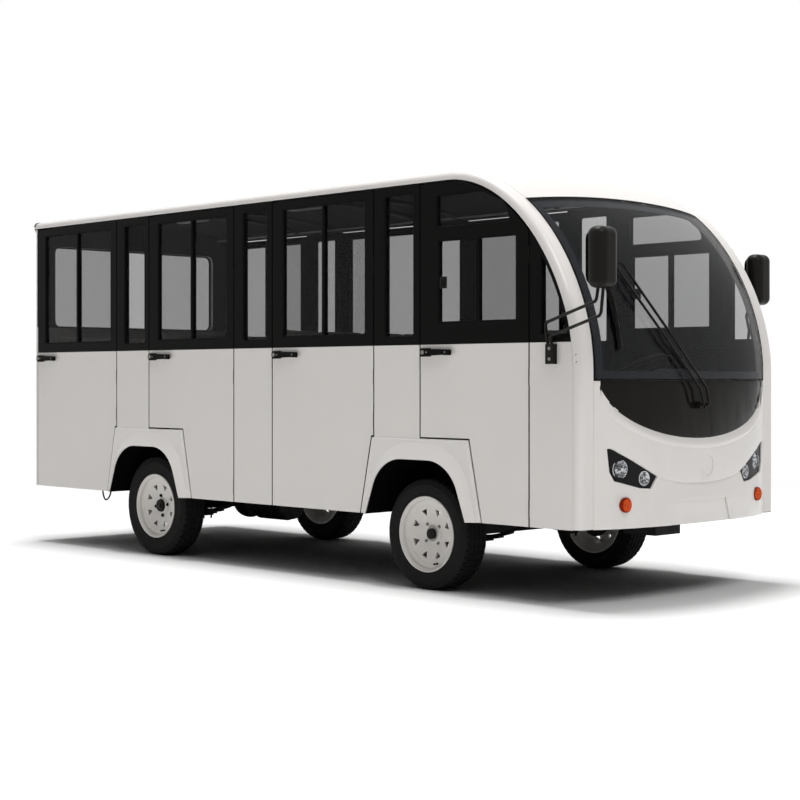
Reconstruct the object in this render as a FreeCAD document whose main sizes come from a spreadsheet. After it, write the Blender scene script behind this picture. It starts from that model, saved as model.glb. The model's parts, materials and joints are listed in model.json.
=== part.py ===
"""Enclosed electric sightseeing vehicle: eight side doors, four bench rows, four road wheels.

Frame: +X forward, +Y to the left, +Z up, origin on the ground under the middle of the vehicle.
All lengths are millimetres.  Every size is a cell of the sheet "Sizes"; the rest is worked out from them.
"""
import FreeCAD, Part
import math
import os
import re

import Sketcher

Vector = FreeCAD.Vector
Rotation = FreeCAD.Rotation
Placement = FreeCAD.Placement

doc = FreeCAD.newDocument("SightseeingVehicle")

# ---------------------------------------------------------------- driving sizes
SIZES = {
    # body shell
    "body_width": 1500,
    "nose_x": 2036,
    "skirt_z": 347,
    "belt_z": 1166,
    "roof_edge_z": 1973,
    "roof_crown": 62,
    "nose_bulge": 110,
    "hoop_depth": 42,
    "hoop_width": 91,
    "hoop_round": 28,
    "arch_back": 800,
    "arch_top_pull": 350,
    "arch_pull_bulge": 60,
    "arch_front_pull_z": 1460,
    "arch_foot_z": 1040,
    "skin": 28,
    # side modules, front to rear
    "quarter_len": 251,
    "front_door_len": 683,
    "pillar_len": 319,
    "door_len": 769,
    "rear_door_len": 847,
    "post_depth": 41,
    "seam": 8,
    "wall": 36,
    "door_wall": 30,
    # side windows
    "door_sill_z": 1220,
    "door_head_z": 1884,
    "window_rear_margin": 84,
    "window_front_margin": 62,
    "divider": 14,
    "window_round": 8,
    "pillar_sill_z": 1204,
    "pillar_head_z": 1890,
    "pillar_rear_margin": 76,
    "pillar_front_margin": 43,
    "pillar_round": 18,
    "cab_sill_z": 1267,
    "cab_transom_z": 1655,
    "cab_upper_z": 1712,
    "cab_head_z": 1868,
    "cab_rear_margin": 119,
    "cab_front_margin": 68,
    "cab_round": 28,
    "quarter_margin": 16,
    "quarter_rear_margin": 65,
    "glass": 5,
    "glass_depth": 12,
    # windscreen, fascia and nose
    "screen_glass": 6,
    "screen_base_z": 996,
    "screen_top_z": 1825,
    "screen_top_rise": 32,
    "fascia_corner": 27,
    "fascia_end_z": 967,
    "fascia_pull_y": 500,
    "fascia_pull_z": 656,
    "fascia_setback": 10,
    "lip_drop": 32,
    "crease_half": 322,
    "crease_end_z": 570,
    "crease_middle_z": 533,
    "crease_depth": 12,
    "crease_drop": 60,
    "badge_y": 30,
    "badge_z": 610,
    "badge_r": 50,
    "badge_depth": 3,
    "plate_top_half": 190,
    "plate_foot_half": 235,
    "plate_top_z": 453,
    "plate_depth": 7,
    "lamp_setback": 8,
    "lamp_depth": 60,
    "turn_lamp_z": 451,
    "turn_lamp_r": 33,
    "turn_lamp_proud": 10,
    # rear window
    "rear_window_half": 620,
    "rear_window_sill_z": 1327,
    "rear_window_head_z": 1832,
    "rear_window_round": 45,
    # running gear
    "wheelbase": 2175,
    "front_overhang": 985,
    "track": 1252,
    "tyre_width": 165,
    "front_tyre_r": 265,
    "rear_tyre_r": 280,
    "rim_r": 181,
    "rim_width": 150,
    "kingpin_inset": 92,
    "spindle_r": 18,
    "kingpin_r": 10,
    "kingpin_half": 62,
    "boss_r": 24,
    "boss_half": 36,
    "yoke_half": 26,
    "yoke_half_height": 58,
    "yoke_reach": 44,
    "beam_half": 24,
    "axle_tube_r": 34,
    "axle_tube_inset": 110,
    "brake_r": 95,
    "brake_plate": 6,
    "final_drive_r": 105,
    "motor_r": 95,
    "motor_len": 336,
    "spring_y": 355,
    "spring_width": 44,
    "spring_half": 300,
    "spring_rise": 56,
    "leaf": 8,
    "spring_bed": 1.5,
    "spring_eye_r": 13,
    "spring_pin_r": 6,
    "hanger_cheek": 6,
    "clamp_r": 5,
    "clamp_plate": 8,
    "running_gap": 0.3,
    "hub_setback": 38,
    "hub_face": 52,
    "hub_cap_r": 25,
    "hub_boss_r": 36,
    "disc_recess": 31,
    "vent_outer_r": 122,
    "vent_inner_r": 89,
    "vent_half": 20,
    # wheel arches
    "flare_top_z": 722,
    "flare_top_half": 321,
    "flare_foot_half": 401,
    "flare_proud": 8,
    "lip_proud": 30,
    "lip_spread": 52,
    "lip_rise": 45,
    "lip_edge": 6,
    "arch_top_z": 623,
    "arch_top_half": 232,
    "arch_foot_half": 335,
    "arch_round": 205,
    "tub_wall": 4,
    "tub_inner_y": 386,
    "tub_head": 12,
    # frame and floor
    "rail_y": 305,
    "rail_width": 50,
    "rail_height": 76,
    "rail_front": 120,
    "member_half": 25,
    "member_drop": 60,
    "tow_len": 180,
    "tow_y": 201,
    "tow_half": 93,
    "tow_drop": 46,
    "tow_pin_x": 35,
    "tow_pin_r": 12.5,
    "battery_front": 1690,
    "battery_len": 410,
    "battery_half": 280,
    "battery_top_z": 680,
    "floor_z": 452,
    "floor_plate": 12,
    "sill_width": 24,
    "sill_height": 60,
    # seats
    "seat_row_pitch": 1050,
    "seat_first_back": 1100,
    "seat_half": 640,
    "seat_pan_z": 690,
    "seat_depth": 450,
    "seat_thick": 110,
    "seat_nose": 40,
    "seat_round": 25,
    "back_height": 470,
    "back_thick": 80,
    "back_foot": 34,
    "back_lean": 40,
    "back_top": 60,
    "pan_thick": 20,
    "apron_thick": 4,
    "leg_y": 320,
    "leg_half": 20,
    # cab
    "dash_half": 620,
    "dash_foot": 90,
    "dash_foot_z": 700,
    "dash_top": 230,
    "dash_brow": 380,
    "dash_brow_z": 930,
    "dash_lip": 400,
    "dash_lip_z": 800,
    "dash_knee": 300,
    "dash_knee_z": 720,
    "dash_gap": 12,
    "dash_round": 20,
    "steering_back": 520,
    "steering_y": 330,
    "steering_z": 1010,
    "steering_ring_r": 185,
    "steering_grip_r": 13,
    "steering_spoke_r": 9,
    "column_r": 22,
    "column_len": 260,
    # door handles and hinges
    "handle_drop": 36,
    "handle_inset": 34,
    "handle_len": 176,
    "handle_base": 66,
    "handle_half": 20,
    "handle_proud": 14,
    "lever_thick": 14,
    "lock_r": 17,
    "hinge_r": 3.2,
    "hinge_half": 40,
    "hinge_leaf": 8,
    # mirrors, tail lamps and wiper
    "mirror_foot": 154,
    "mirror_reach": 150,
    "mirror_z": 1510,
    "mirror_ahead": 240,
    "mirror_behind": 187,
    "mirror_deep": 95,
    "mirror_wide": 130,
    "mirror_tall": 257,
    "mirror_round": 44,
    "mirror_rim": 36,
    "bracket_half": 23,
    "bracket_proud": 26,
    "bracket_tall": 88,
    "bracket_drop": 96,
    "mirror_arm_r": 7,
    "tail_lamp_proud": 16,
    "tail_lamp_inset": 95,
    "tail_lamp_wide": 70,
    "tail_lamp_tall": 230,
    "tail_lamp_z": 760,
    "wiper_foot_z": 886,
    "wiper_arm_r": 6,
    "wiper_lift": 34,
    "wiper_arm_gap": 50,
    "blade_low_z": 1135,
    "blade_high_z": 1560,
    "blade_r": 9,
}

sheet = doc.addObject("Spreadsheet::Sheet", "Sizes")
for row, (alias, number) in enumerate(SIZES.items(), start=1):
    sheet.set(f"A{row}", alias)
    sheet.set(f"B{row}", str(number))
    sheet.setAlias(f"B{row}", alias)
doc.recompute()

WORD = re.compile(r"[a-z][a-z_0-9]*")


def bound(expression):
    """The expression with every size name pointed at the sheet."""
    return WORD.sub(lambda word: "Sizes." + word.group(0), expression)


def size(expression):
    """The number that an expression of size names stands for."""
    return float(sheet.evalExpression(expression))


# ---------------------------------------------------------------- stations
SIDE = "(body_width / 2)"
HOOP_Y = f"({SIDE} - hoop_width)"
CANT_Z = "(roof_edge_z - hoop_depth)"
QUARTER_FRONT = "(nose_x - hoop_depth)"
SEAM_1 = f"({QUARTER_FRONT} - quarter_len)"
SEAM_2 = f"({SEAM_1} - front_door_len)"
SEAM_3 = f"({SEAM_2} - pillar_len)"
SEAM_4 = f"({SEAM_3} - door_len)"
SEAM_5 = f"({SEAM_4} - pillar_len)"
SEAM_6 = f"({SEAM_5} - door_len)"
SEAM_7 = f"({SEAM_6} - pillar_len)"
SEAM_8 = f"({SEAM_7} - rear_door_len)"
REAR = f"({SEAM_8} - post_depth)"
FRONT_AXLE = "(nose_x - front_overhang)"
REAR_AXLE = f"({FRONT_AXLE} - wheelbase)"
FLOOR_UNDER = "(floor_z - floor_plate)"
RAIL_UNDER = f"({FLOOR_UNDER} - rail_height)"

nodes = {}


# ---------------------------------------------------------------- drawing helpers
def origin_plane(body, role):
    return next(plane for plane in body.Origin.OriginFeatures if plane.Role == role)


def new_body(label):
    body = doc.addObject("PartDesign::Body", "Body")
    body.Label = label
    return body


def new_sketch(body, role, offset="0"):
    """A sketch on one of the body's origin planes, moved along that plane's normal."""
    sketch = body.newObject("Sketcher::SketchObject", "Sketch")
    sketch.AttachmentSupport = [(origin_plane(body, role), "")]
    sketch.MapMode = "FlatFace"
    sketch.setExpression("AttachmentOffset.Base.z", bound(offset))
    return sketch


def corner_arc(before, corner, after, radius):
    """Tangent arc that rounds a corner: (start, end, arc, turns left)."""
    back = (before - corner).normalize()
    ahead = (after - corner).normalize()
    half = back.getAngle(ahead) / 2
    start = corner + back * (radius / math.tan(half))
    end = corner + ahead * (radius / math.tan(half))
    centre = corner + (back + ahead).normalize() * (radius / math.sin(half))
    turns_left = back.cross(ahead).z < 0
    first, last = (start, end) if turns_left else (end, start)
    angle_a = math.atan2(first.y - centre.y, first.x - centre.x)
    angle_b = math.atan2(last.y - centre.y, last.x - centre.x)
    if angle_b < angle_a:
        angle_b += 2 * math.pi
    circle = Part.Circle(centre, Vector(0, 0, 1), radius)
    return start, end, Part.ArcOfCircle(circle, angle_a, angle_b), turns_left


def draw_outline(sketch, corners):
    """Closed outline through corners (x, y) or (x, y, radius), all expressions of the sizes."""
    count = len(corners)
    points = [Vector(size(corner[0]), size(corner[1]), 0) for corner in corners]
    radii = [size(corner[2]) if len(corner) > 2 else 0 for corner in corners]
    starts, ends, arcs, lefts = [], [], [], []
    for i in range(count):
        if radii[i]:
            start, end, arc, left = corner_arc(points[i - 1], points[i], points[(i + 1) % count], radii[i])
        else:
            start, end, arc, left = points[i], points[i], None, True
        starts.append(start)
        ends.append(end)
        arcs.append(arc)
        lefts.append(left)
    lines = [sketch.addGeometry(Part.LineSegment(ends[i], starts[(i + 1) % count]), False)
             for i in range(count)]
    constraints = []
    bindings = []

    def pin(geometry, position, corner, point):
        places = (("DistanceX", corner[0], point.x), ("DistanceY", corner[1], point.y))
        for kind, expression, number in places:
            bindings.append((len(constraints), expression))
            constraints.append(Sketcher.Constraint(kind, -1, 1, geometry, position, number))

    for i in range(count):
        before, after = lines[i - 1], lines[i]
        if arcs[i] is None:
            constraints.append(Sketcher.Constraint("Coincident", before, 2, after, 1))
            pin(after, 1, corners[i], points[i])
            continue
        arc = sketch.addGeometry(arcs[i], False)
        vertex = sketch.addGeometry(Part.Point(points[i]), True)
        arc_start, arc_end = (1, 2) if lefts[i] else (2, 1)
        constraints.append(Sketcher.Constraint("Tangent", before, 2, arc, arc_start))
        constraints.append(Sketcher.Constraint("Tangent", arc, arc_end, after, 1))
        constraints.append(Sketcher.Constraint("PointOnObject", vertex, 1, before))
        constraints.append(Sketcher.Constraint("PointOnObject", vertex, 1, after))
        pin(vertex, 1, corners[i], points[i])
        bindings.append((len(constraints), corners[i][2]))
        constraints.append(Sketcher.Constraint("Radius", arc, radii[i]))
    shift = sketch.ConstraintCount
    sketch.addConstraint(constraints)
    for index, expression in bindings:
        sketch.setExpression(f"Constraints[{shift + index}]", bound(expression))


def pad(body, sketch, length, midplane=False):
    feature = body.newObject("PartDesign::Pad", "Pad")
    feature.Profile = sketch
    feature.setExpression("Length", bound(length))
    feature.Midplane = midplane
    return feature


def pocket(body, sketch, length=None, midplane=False):
    feature = body.newObject("PartDesign::Pocket", "Pocket")
    feature.Profile = sketch
    feature.Midplane = midplane
    if length is None:
        feature.Type = 1
    else:
        feature.setExpression("Length", bound(length))
    return feature


def revolve(body, sketch):
    feature = body.newObject("PartDesign::Revolution", "Revolution")
    feature.Profile = sketch
    feature.ReferenceAxis = (sketch, ["H_Axis"])
    feature.Angle = 360
    return feature


def plate(label, role, offset, thickness, outlines):
    """A flat piece: outlines drawn on a plane at an offset, padded along the plane's normal."""
    body = new_body(label)
    sketch = new_sketch(body, role, offset)
    for outline in outlines:
        draw_outline(sketch, outline)
    pad(body, sketch, thickness)
    return body


def side_plate(label, inner_y, thickness, outlines):
    """A piece of the right-hand side, drawn in X and Z, from inner_y outwards."""
    return plate(label, "XZ_Plane", inner_y, thickness, outlines)


def rectangle(x_low, x_high, y_low, y_high, radius=None):
    corners = [(x_low, y_low), (x_high, y_low), (x_high, y_high), (x_low, y_high)]
    return corners if radius is None else [corner + (radius,) for corner in corners]


def box(label, x_low, x_high, y_low, y_high, z_low, z_high):
    item = doc.addObject("Part::Box", "Box")
    item.Label = label
    for name, low, high in (("Length", x_low, x_high), ("Width", y_low, y_high), ("Height", z_low, z_high)):
        item.setExpression(name, bound(f"({high}) - ({low})"))
    for axis, low in (("x", x_low), ("y", y_low), ("z", z_low)):
        item.setExpression(f"Placement.Base.{axis}", bound(low))
    return item


AXES = {"X": Rotation(Vector(0, 1, 0), 90), "Y": Rotation(Vector(1, 0, 0), -90), "Z": Rotation()}


def cylinder(label, axis, x, y, z, radius, length):
    """A cylinder that starts at (x, y, z) and runs along the positive axis."""
    item = doc.addObject("Part::Cylinder", "Cylinder")
    item.Label = label
    item.Placement = Placement(Vector(), AXES[axis])
    item.setExpression("Radius", bound(radius))
    item.setExpression("Height", bound(length))
    for name, value in (("x", x), ("y", y), ("z", z)):
        item.setExpression(f"Placement.Base.{name}", bound(value))
    return item


def fuse(label, shapes):
    item = doc.addObject("Part::MultiFuse", "Fuse")
    item.Label = label
    item.Shapes = shapes
    item.Refine = True
    return item


def cut(label, base, tool):
    item = doc.addObject("Part::Cut", "Cut")
    item.Label = label
    item.Base = base
    item.Tool = tool
    return item


def common(label, first, second):
    item = doc.addObject("Part::MultiCommon", "Common")
    item.Label = label
    item.Shapes = [first, second]
    return item


def group(label, shapes):
    """Like pieces that don't touch, kept in one node."""
    item = doc.addObject("Part::Compound", "Group")
    item.Label = label
    item.Links = shapes
    return item


def mirrored(label, source):
    """The left-hand twin of a right-hand piece."""
    item = doc.addObject("Part::Mirroring", "Mirror")
    item.Label = label
    item.Source = source
    item.Normal = (0, 1, 0)
    return item


def feature(label, shape):
    item = doc.addObject("Part::Feature", "Shape")
    item.Label = label
    item.Shape = shape
    return item


# ---------------------------------------------------------------- the rounded body form
# The roof, the screen and the nose are one surface: straight along the roof, a cubic arch down to
# the foot and straight to the skirt, crowned across the roof and bowed across the nose.
PLAN_PULL = 0.653        # where a cubic's inner poles sit across the width, for a full, bus-like plan
POLE_GAIN = 4 / 3        # a cubic's inner poles stand this much further out than its middle
ARCH_PULL_SHARE = 0.55   # how far the arch's pulls move with its inset, so the skin keeps its thickness


def profile_rows(inset, crown_share, rear, low):
    """The side profile's poles: the roof line, the arch's four poles and the line down to the skirt."""
    crown = size("roof_crown") * crown_share
    bulge = size("nose_bulge") * crown_share
    nose = size("nose_x") + bulge - inset
    top = size("roof_edge_z") + crown - inset
    start = size("nose_x - arch_back")
    pull = ARCH_PULL_SHARE * inset
    return {
        "rear": Vector(rear, 0, top),
        "arch": [
            Vector(start, 0, top),
            Vector(size("nose_x - arch_top_pull") + size("arch_pull_bulge") * crown_share - pull, 0, top),
            Vector(nose, 0, size("arch_front_pull_z") - pull),
            Vector(nose, 0, size("arch_foot_z")),
        ],
        "low": Vector(nose, 0, low),
    }


def bezier_edge(poles):
    curve = Part.BezierCurve()
    curve.setPoles(poles)
    return curve.toShape()


def bezier_face(rows):
    """Face of a Bezier patch: rows of poles, each row across the width."""
    surface = Part.BezierSurface()
    surface.increase(len(rows) - 1, len(rows[0]) - 1)
    for i, row in enumerate(rows, start=1):
        for j, pole in enumerate(row, start=1):
            surface.setPole(i, j, pole)
    return surface.toShape()


def body_form(inset, grow=0.0):
    """Solid under the rounded surface moved in by inset; grow lets it run past the open ends."""
    half = size(HOOP_Y)
    rear = size(REAR) - grow
    low = size("skirt_z") - grow
    stations = ((-half, 0), (-half * PLAN_PULL, POLE_GAIN), (half * PLAN_PULL, POLE_GAIN), (half, 0))
    profiles = [(y, profile_rows(inset, share, rear, low)) for y, share in stations]

    def across(pick):
        return [Vector(pick(rows).x, y, pick(rows).z) for y, rows in profiles]

    rear_row = across(lambda rows: rows["rear"])
    arch_rows = [across(lambda rows, k=k: rows["arch"][k]) for k in range(4)]
    low_row = across(lambda rows: rows["low"])
    faces = [
        bezier_face([rear_row, arch_rows[0]]),
        bezier_face(arch_rows),
        bezier_face([arch_rows[3], low_row]),
    ]
    for end in (0, 3):
        foot = Vector(rear, rear_row[end].y, low)
        edges = [
            Part.makeLine(foot, rear_row[end]),
            Part.makeLine(rear_row[end], arch_rows[0][end]),
            bezier_edge([arch_rows[k][end] for k in range(4)]),
            Part.makeLine(arch_rows[3][end], low_row[end]),
            Part.makeLine(low_row[end], foot),
        ]
        faces.append(Part.Face(Part.Wire(edges)))
    left_foot = Vector(rear, half, low)
    right_foot = Vector(rear, -half, low)
    faces.append(Part.Face(Part.Wire([
        Part.makeLine(right_foot, rear_row[0]),
        bezier_edge(rear_row),
        Part.makeLine(rear_row[3], left_foot),
        Part.makeLine(left_foot, right_foot),
    ])))
    faces.append(Part.Face(Part.Wire([
        Part.makeLine(right_foot, low_row[0]),
        bezier_edge(low_row),
        Part.makeLine(low_row[3], left_foot),
        Part.makeLine(left_foot, right_foot),
    ])))
    shell = Part.makeShell(faces)
    shell.sewShape()
    solid = Part.makeSolid(shell)
    if solid.Volume < 0:
        solid.reverse()
    return solid


def skin_form(outer_inset, inner_inset):
    """The body form's wall between two insets, open at the rear and below."""
    return body_form(outer_inset).cut(body_form(inner_inset, grow=60))


def side_profile(inset, rear, low):
    """Closed wire of the side view inside the hoop's border."""
    rows = profile_rows(inset, 0, rear, low)
    foot = Vector(rear, 0, low)
    return Part.Wire([
        Part.makeLine(foot, rows["rear"]),
        Part.makeLine(rows["rear"], rows["arch"][0]),
        bezier_edge(rows["arch"]),
        Part.makeLine(rows["arch"][3], rows["low"]),
        Part.makeLine(rows["low"], foot),
    ])


def side_prism(inset):
    """The side view inside the border, drawn right through the vehicle."""
    grow = 200
    face = Part.Face(side_profile(inset, size(REAR) - grow, size("skirt_z") - grow))
    width = size("body_width") + 2 * grow
    face.translate(Vector(0, -width / 2, 0))
    return face.extrude(Vector(0, width, 0))


# ---------------------------------------------------------------- roof, screen, nose
body_skin = skin_form(0, size("skin"))
screen_skin = skin_form(1.0, 1.0 + size("screen_glass"))
AHEAD = 900  # length of the cutting prisms ahead of and behind the arch


def front_prism(edges):
    """Prism through the nose from an outline in the front view (Y and Z)."""
    face = Part.Face(Part.Wire(edges))
    face.translate(Vector(size("nose_x") - AHEAD, 0, 0))
    return face.extrude(Vector(2 * AHEAD, 0, 0))


def screen_outline():
    half = size(HOOP_Y)
    base = size("screen_base_z")
    top = size("screen_top_z")
    crest = Vector(0, 0, top + size("screen_top_rise"))
    return [
        Part.makeLine(Vector(0, -half, base), Vector(0, half, base)),
        Part.makeLine(Vector(0, half, base), Vector(0, half, top)),
        Part.Arc(Vector(0, half, top), crest, Vector(0, -half, top)).toShape(),
        Part.makeLine(Vector(0, -half, top), Vector(0, -half, base)),
    ]


def fascia_outline():
    half = size(FASCIA_HALF)
    base = size("screen_base_z")
    end = size("fascia_end_z")
    pull_y = size("fascia_pull_y")
    pull_z = size("fascia_pull_z")
    return [
        Part.makeLine(Vector(0, half, end), Vector(0, half, base)),
        Part.makeLine(Vector(0, half, base), Vector(0, -half, base)),
        Part.makeLine(Vector(0, -half, base), Vector(0, -half, end)),
        bezier_edge([Vector(0, -half, end), Vector(0, -pull_y, pull_z), Vector(0, pull_y, pull_z),
                     Vector(0, half, end)]),
    ]


FASCIA_HALF = f"({HOOP_Y} - fascia_corner)"
screen_prism = front_prism(screen_outline())
fascia_prism = front_prism(fascia_outline())
nose_zone = Part.makeBox(2 * AHEAD, 4000, size("screen_base_z"), Vector(size("nose_x") - AHEAD, -2000, 0))
roof_zone = Part.makeBox(8000, 4000, 2000, Vector(size("nose_x") - 7000, -2000, size("screen_base_z")))
nose_form = body_form(0)

nodes["windscreen"] = feature("windscreen", screen_skin.common(screen_prism))
nodes["roof"] = feature("roof", body_skin.common(roof_zone).cut(screen_prism))
fascia_skin = skin_form(size("fascia_setback"), size("skin"))
nodes["front_fascia"] = feature("front_fascia", fascia_skin.common(fascia_prism))


def on_nose(y, z, lift=0.0):
    """The point at y and z that stands lift ahead of the body's surface."""
    inside = max(-size(HOOP_Y) + 0.1, min(size(HOOP_Y) - 0.1, y))
    ray = Part.makeLine(Vector(0, inside, z), Vector(size("nose_x") + AHEAD, inside, z))
    return Vector(ray.common(nose_form).BoundBox.XMax + lift, y, z)


def wedge_below(curve_poles, depth, drop, end_share, rise=0.0, overrun=0.0):
    """Wedge under a curve across the nose: depth deep along the curve and running out drop below it.

    rise carries it on above the curve and overrun carries it past the curve's ends.
    """
    curve = Part.BezierCurve()
    curve.setPoles([Vector(0, y, z) for y, z in curve_poles])
    count = 12
    spare = 0.3
    stations = [(curve.value(step / count), math.sin(math.pi * step / count), 0) for step in range(count + 1)]
    if overrun:
        stations = [stations[0][:2] + (-overrun,)] + stations + [stations[-1][:2] + (overrun,)]
    sections = []
    for point, middle_share, along in stations:
        deep = depth * (end_share + (1 - end_share) * middle_share)
        face = on_nose(point.y, point.z) + Vector(0, along, 0)
        top = face + Vector(0, 0, rise)
        corners = [
            top + Vector(deep * spare, 0, 0),
            top - Vector(deep * (1 + rise / drop), 0, 0),
            face + Vector(deep * spare, 0, -drop * (1 + spare)),
        ]
        sections.append(Part.makePolygon(corners + corners[:1]))
    return Part.makeLoft(sections, True, False)


# a headlamp's corners: share of the nose's half width, and height
HEADLAMP_CORNERS = ((0.915, 699), (0.886, 701), (0.721, 648), (0.489, 571),
                    (0.549, 517), (0.653, 522), (0.863, 557), (0.898, 597))
LAMP_BOWLS = ((0.8, 608, 41), (0.6, 564, 31))  # share across, height and mouth radius
TURN_LAMP_SHARE = 0.775
BOWL_GAIN = 1.3          # the bowl's ball is this much larger than the lamp's mouth


def closed_outline(corners):
    """The straight edges from each corner to the next and back to the first."""
    return [Part.makeLine(first, second) for first, second in zip(corners, corners[1:] + corners[:1])]


def headlamp_prism(side):
    corners = [Vector(0, side * share * size(HOOP_Y), z) for share, z in HEADLAMP_CORNERS]
    return front_prism(closed_outline(corners))


def lamp_bowl(side, share, z, mouth):
    """Ball that leaves a round bowl with a mouth of that radius in the lamp's face."""
    ball = mouth * BOWL_GAIN
    middle = on_nose(side * share * size(HOOP_Y), z, math.sqrt(ball ** 2 - mouth ** 2) - size("lamp_setback"))
    return Part.makeSphere(ball, middle)


def plate_prism():
    foot = size("skirt_z") - 20
    corners = [Vector(0, y, z) for y, z in (
        (-size("plate_foot_half"), foot), (size("plate_foot_half"), foot),
        (size("plate_top_half"), size("plate_top_z")), (-size("plate_top_half"), size("plate_top_z")))]
    return front_prism(closed_outline(corners))


smile = [(-size(FASCIA_HALF), size("fascia_end_z")), (-size("fascia_pull_y"), size("fascia_pull_z")),
         (size("fascia_pull_y"), size("fascia_pull_z")), (size(FASCIA_HALF), size("fascia_end_z"))]
crease_pull_z = (4 * size("crease_middle_z") - size("crease_end_z")) / 3
crease = [(-size("crease_half"), size("crease_end_z")), (-size("crease_half") / 2, crease_pull_z),
          (size("crease_half") / 2, crease_pull_z), (size("crease_half"), size("crease_end_z"))]
badge_place = Vector(size("nose_x") - AHEAD, size("badge_y"), size("badge_z"))
badge_prism = Part.makeCylinder(size("badge_r"), 2 * AHEAD, badge_place, Vector(1, 0, 0))
lamp_holes = headlamp_prism(1).fuse(headlamp_prism(-1))
nose_cuts = [
    wedge_below(smile, size("fascia_setback"), size("lip_drop"), 0.6, rise=6, overrun=2),
    wedge_below(crease, size("crease_depth"), size("crease_drop"), 0.25),
    skin_form(-1, size("badge_depth")).common(badge_prism),
    skin_form(-1, size("plate_depth")).common(plate_prism()),
]
front_panel = body_skin.common(nose_zone).cut(fascia_prism).cut(lamp_holes).cut(nose_cuts)
nodes["front_panel"] = feature("front_panel", front_panel)
bowls = [lamp_bowl(side, *bowl) for side in (-1, 1) for bowl in LAMP_BOWLS]
housings = skin_form(size("lamp_setback"), size("lamp_depth")).common(lamp_holes).cut(bowls)
nodes["headlamps"] = feature("headlamps", housings)

# ---------------------------------------------------------------- hoops with their cant strips
def hoop_shape():
    """The moulded tube down one side: cant strip, arch and front pillar in one."""
    outer = Part.Face(side_profile(0, size(REAR), size("skirt_z")))
    inner = Part.Face(side_profile(size("hoop_depth"), size(REAR) - 50, size("skirt_z") - 50))
    band = outer.cut(inner)
    solid = band.Faces[0].extrude(Vector(0, -size("hoop_width"), 0))
    solid.translate(Vector(0, -size(HOOP_Y), 0))
    side = -size(SIDE)
    outer_edges = []
    for edge in solid.Edges:
        box_ = edge.BoundBox
        on_side = abs(box_.YMin - side) < 0.01 and abs(box_.YMax - side) < 0.01
        middle = edge.valueAt((edge.FirstParameter + edge.LastParameter) / 2)
        on_top = abs(middle.z - size("roof_edge_z")) < 0.01
        on_nose = abs(middle.x - size("nose_x")) < 0.01
        arched = len(edge.Vertexes) == 2 and box_.XLength > 400 and box_.ZLength > 400
        on_arch = arched and middle.z > size("arch_front_pull_z") and middle.x > size("nose_x") - 240
        if on_side and (on_top or on_nose or on_arch):
            outer_edges.append(edge)
    return solid.makeFillet(size("hoop_round"), outer_edges)


hoop_right = feature("hoop_right", hoop_shape())
hoop_left = mirrored("hoop_left", hoop_right)
nodes["hoops"] = group("hoops", [hoop_right, hoop_left])

# ---------------------------------------------------------------- door hinges
HALF_SEAM = "seam / 2"


def hinge_half(label, front, height, on_door):
    """One half of a lift-off hinge: its barrel on the axis and a leaf to the piece that carries it."""
    length = "hinge_half - running_gap"
    low = f"{height} + running_gap" if on_door else f"{height} - hinge_half"
    barrel = cylinder(label + "_barrel", "Z", front, f"-{SIDE}", low, "hinge_r", length)
    rear, ahead = (f"{front} - hinge_leaf", front) if on_door else (front, f"{front} + hinge_leaf")
    leaf = box(label + "_leaf", rear, ahead, f"-{SIDE}", f"-{SIDE} + hinge_r", low, f"{low} + {length}")
    return [barrel, leaf]


def hinge_heights(notch):
    """Heights of a door's three hinges; a door notched in front starts above the flare."""
    lowest = "flare_top_z + 80" if notch == "front" else "skirt_z + 83"
    return (lowest, "belt_z - 150", "belt_z + 390")


def hinge_set(name, front, notch, on_door):
    pieces = []
    for level, height in enumerate(hinge_heights(notch), start=1):
        pieces += hinge_half(f"{name}_hinge_{level}", front, f"({height})", on_door)
    return pieces


# ---------------------------------------------------------------- fixed side panels
WALL_INNER = f"({SIDE} - wall)"
GLASS_INNER = f"({SIDE} - glass_depth - glass)"


def pillar_window(rear, front):
    return rectangle(f"{rear} + pillar_rear_margin", f"{front} - pillar_front_margin",
                     "pillar_sill_z", "pillar_head_z", "pillar_round")


def pillar(label, rear, front, foot):
    outer = rectangle(f"{rear} + {HALF_SEAM}", f"{front} - {HALF_SEAM}", foot, CANT_Z)
    return side_plate(label, WALL_INNER, "wall", [outer, pillar_window(rear, front)])


def pillar_glass(label, rear, front):
    return side_plate(label, GLASS_INNER, "glass", [pillar_window(rear, front)])


PILLARS = ((SEAM_3, SEAM_2, "flare_top_z"), (SEAM_5, SEAM_4, "skirt_z"), (SEAM_7, SEAM_6, "flare_top_z"))
NOTCHES = {1: "rear", 2: "front", 3: "rear", 4: "front"}
pillars = []
for number, (rear, front, foot) in enumerate(PILLARS, start=1):
    post = pillar(f"pillar_{number}_post", rear, front, foot)
    leaves = hinge_set(f"pillar_{number}", rear, NOTCHES[number + 1], False)
    pillars.append(fuse(f"pillar_{number}", [post] + leaves))
pillar_panes = [pillar_glass(f"pillar_pane_{i}", *place[:2]) for i, place in enumerate(PILLARS, start=1)]

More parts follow.
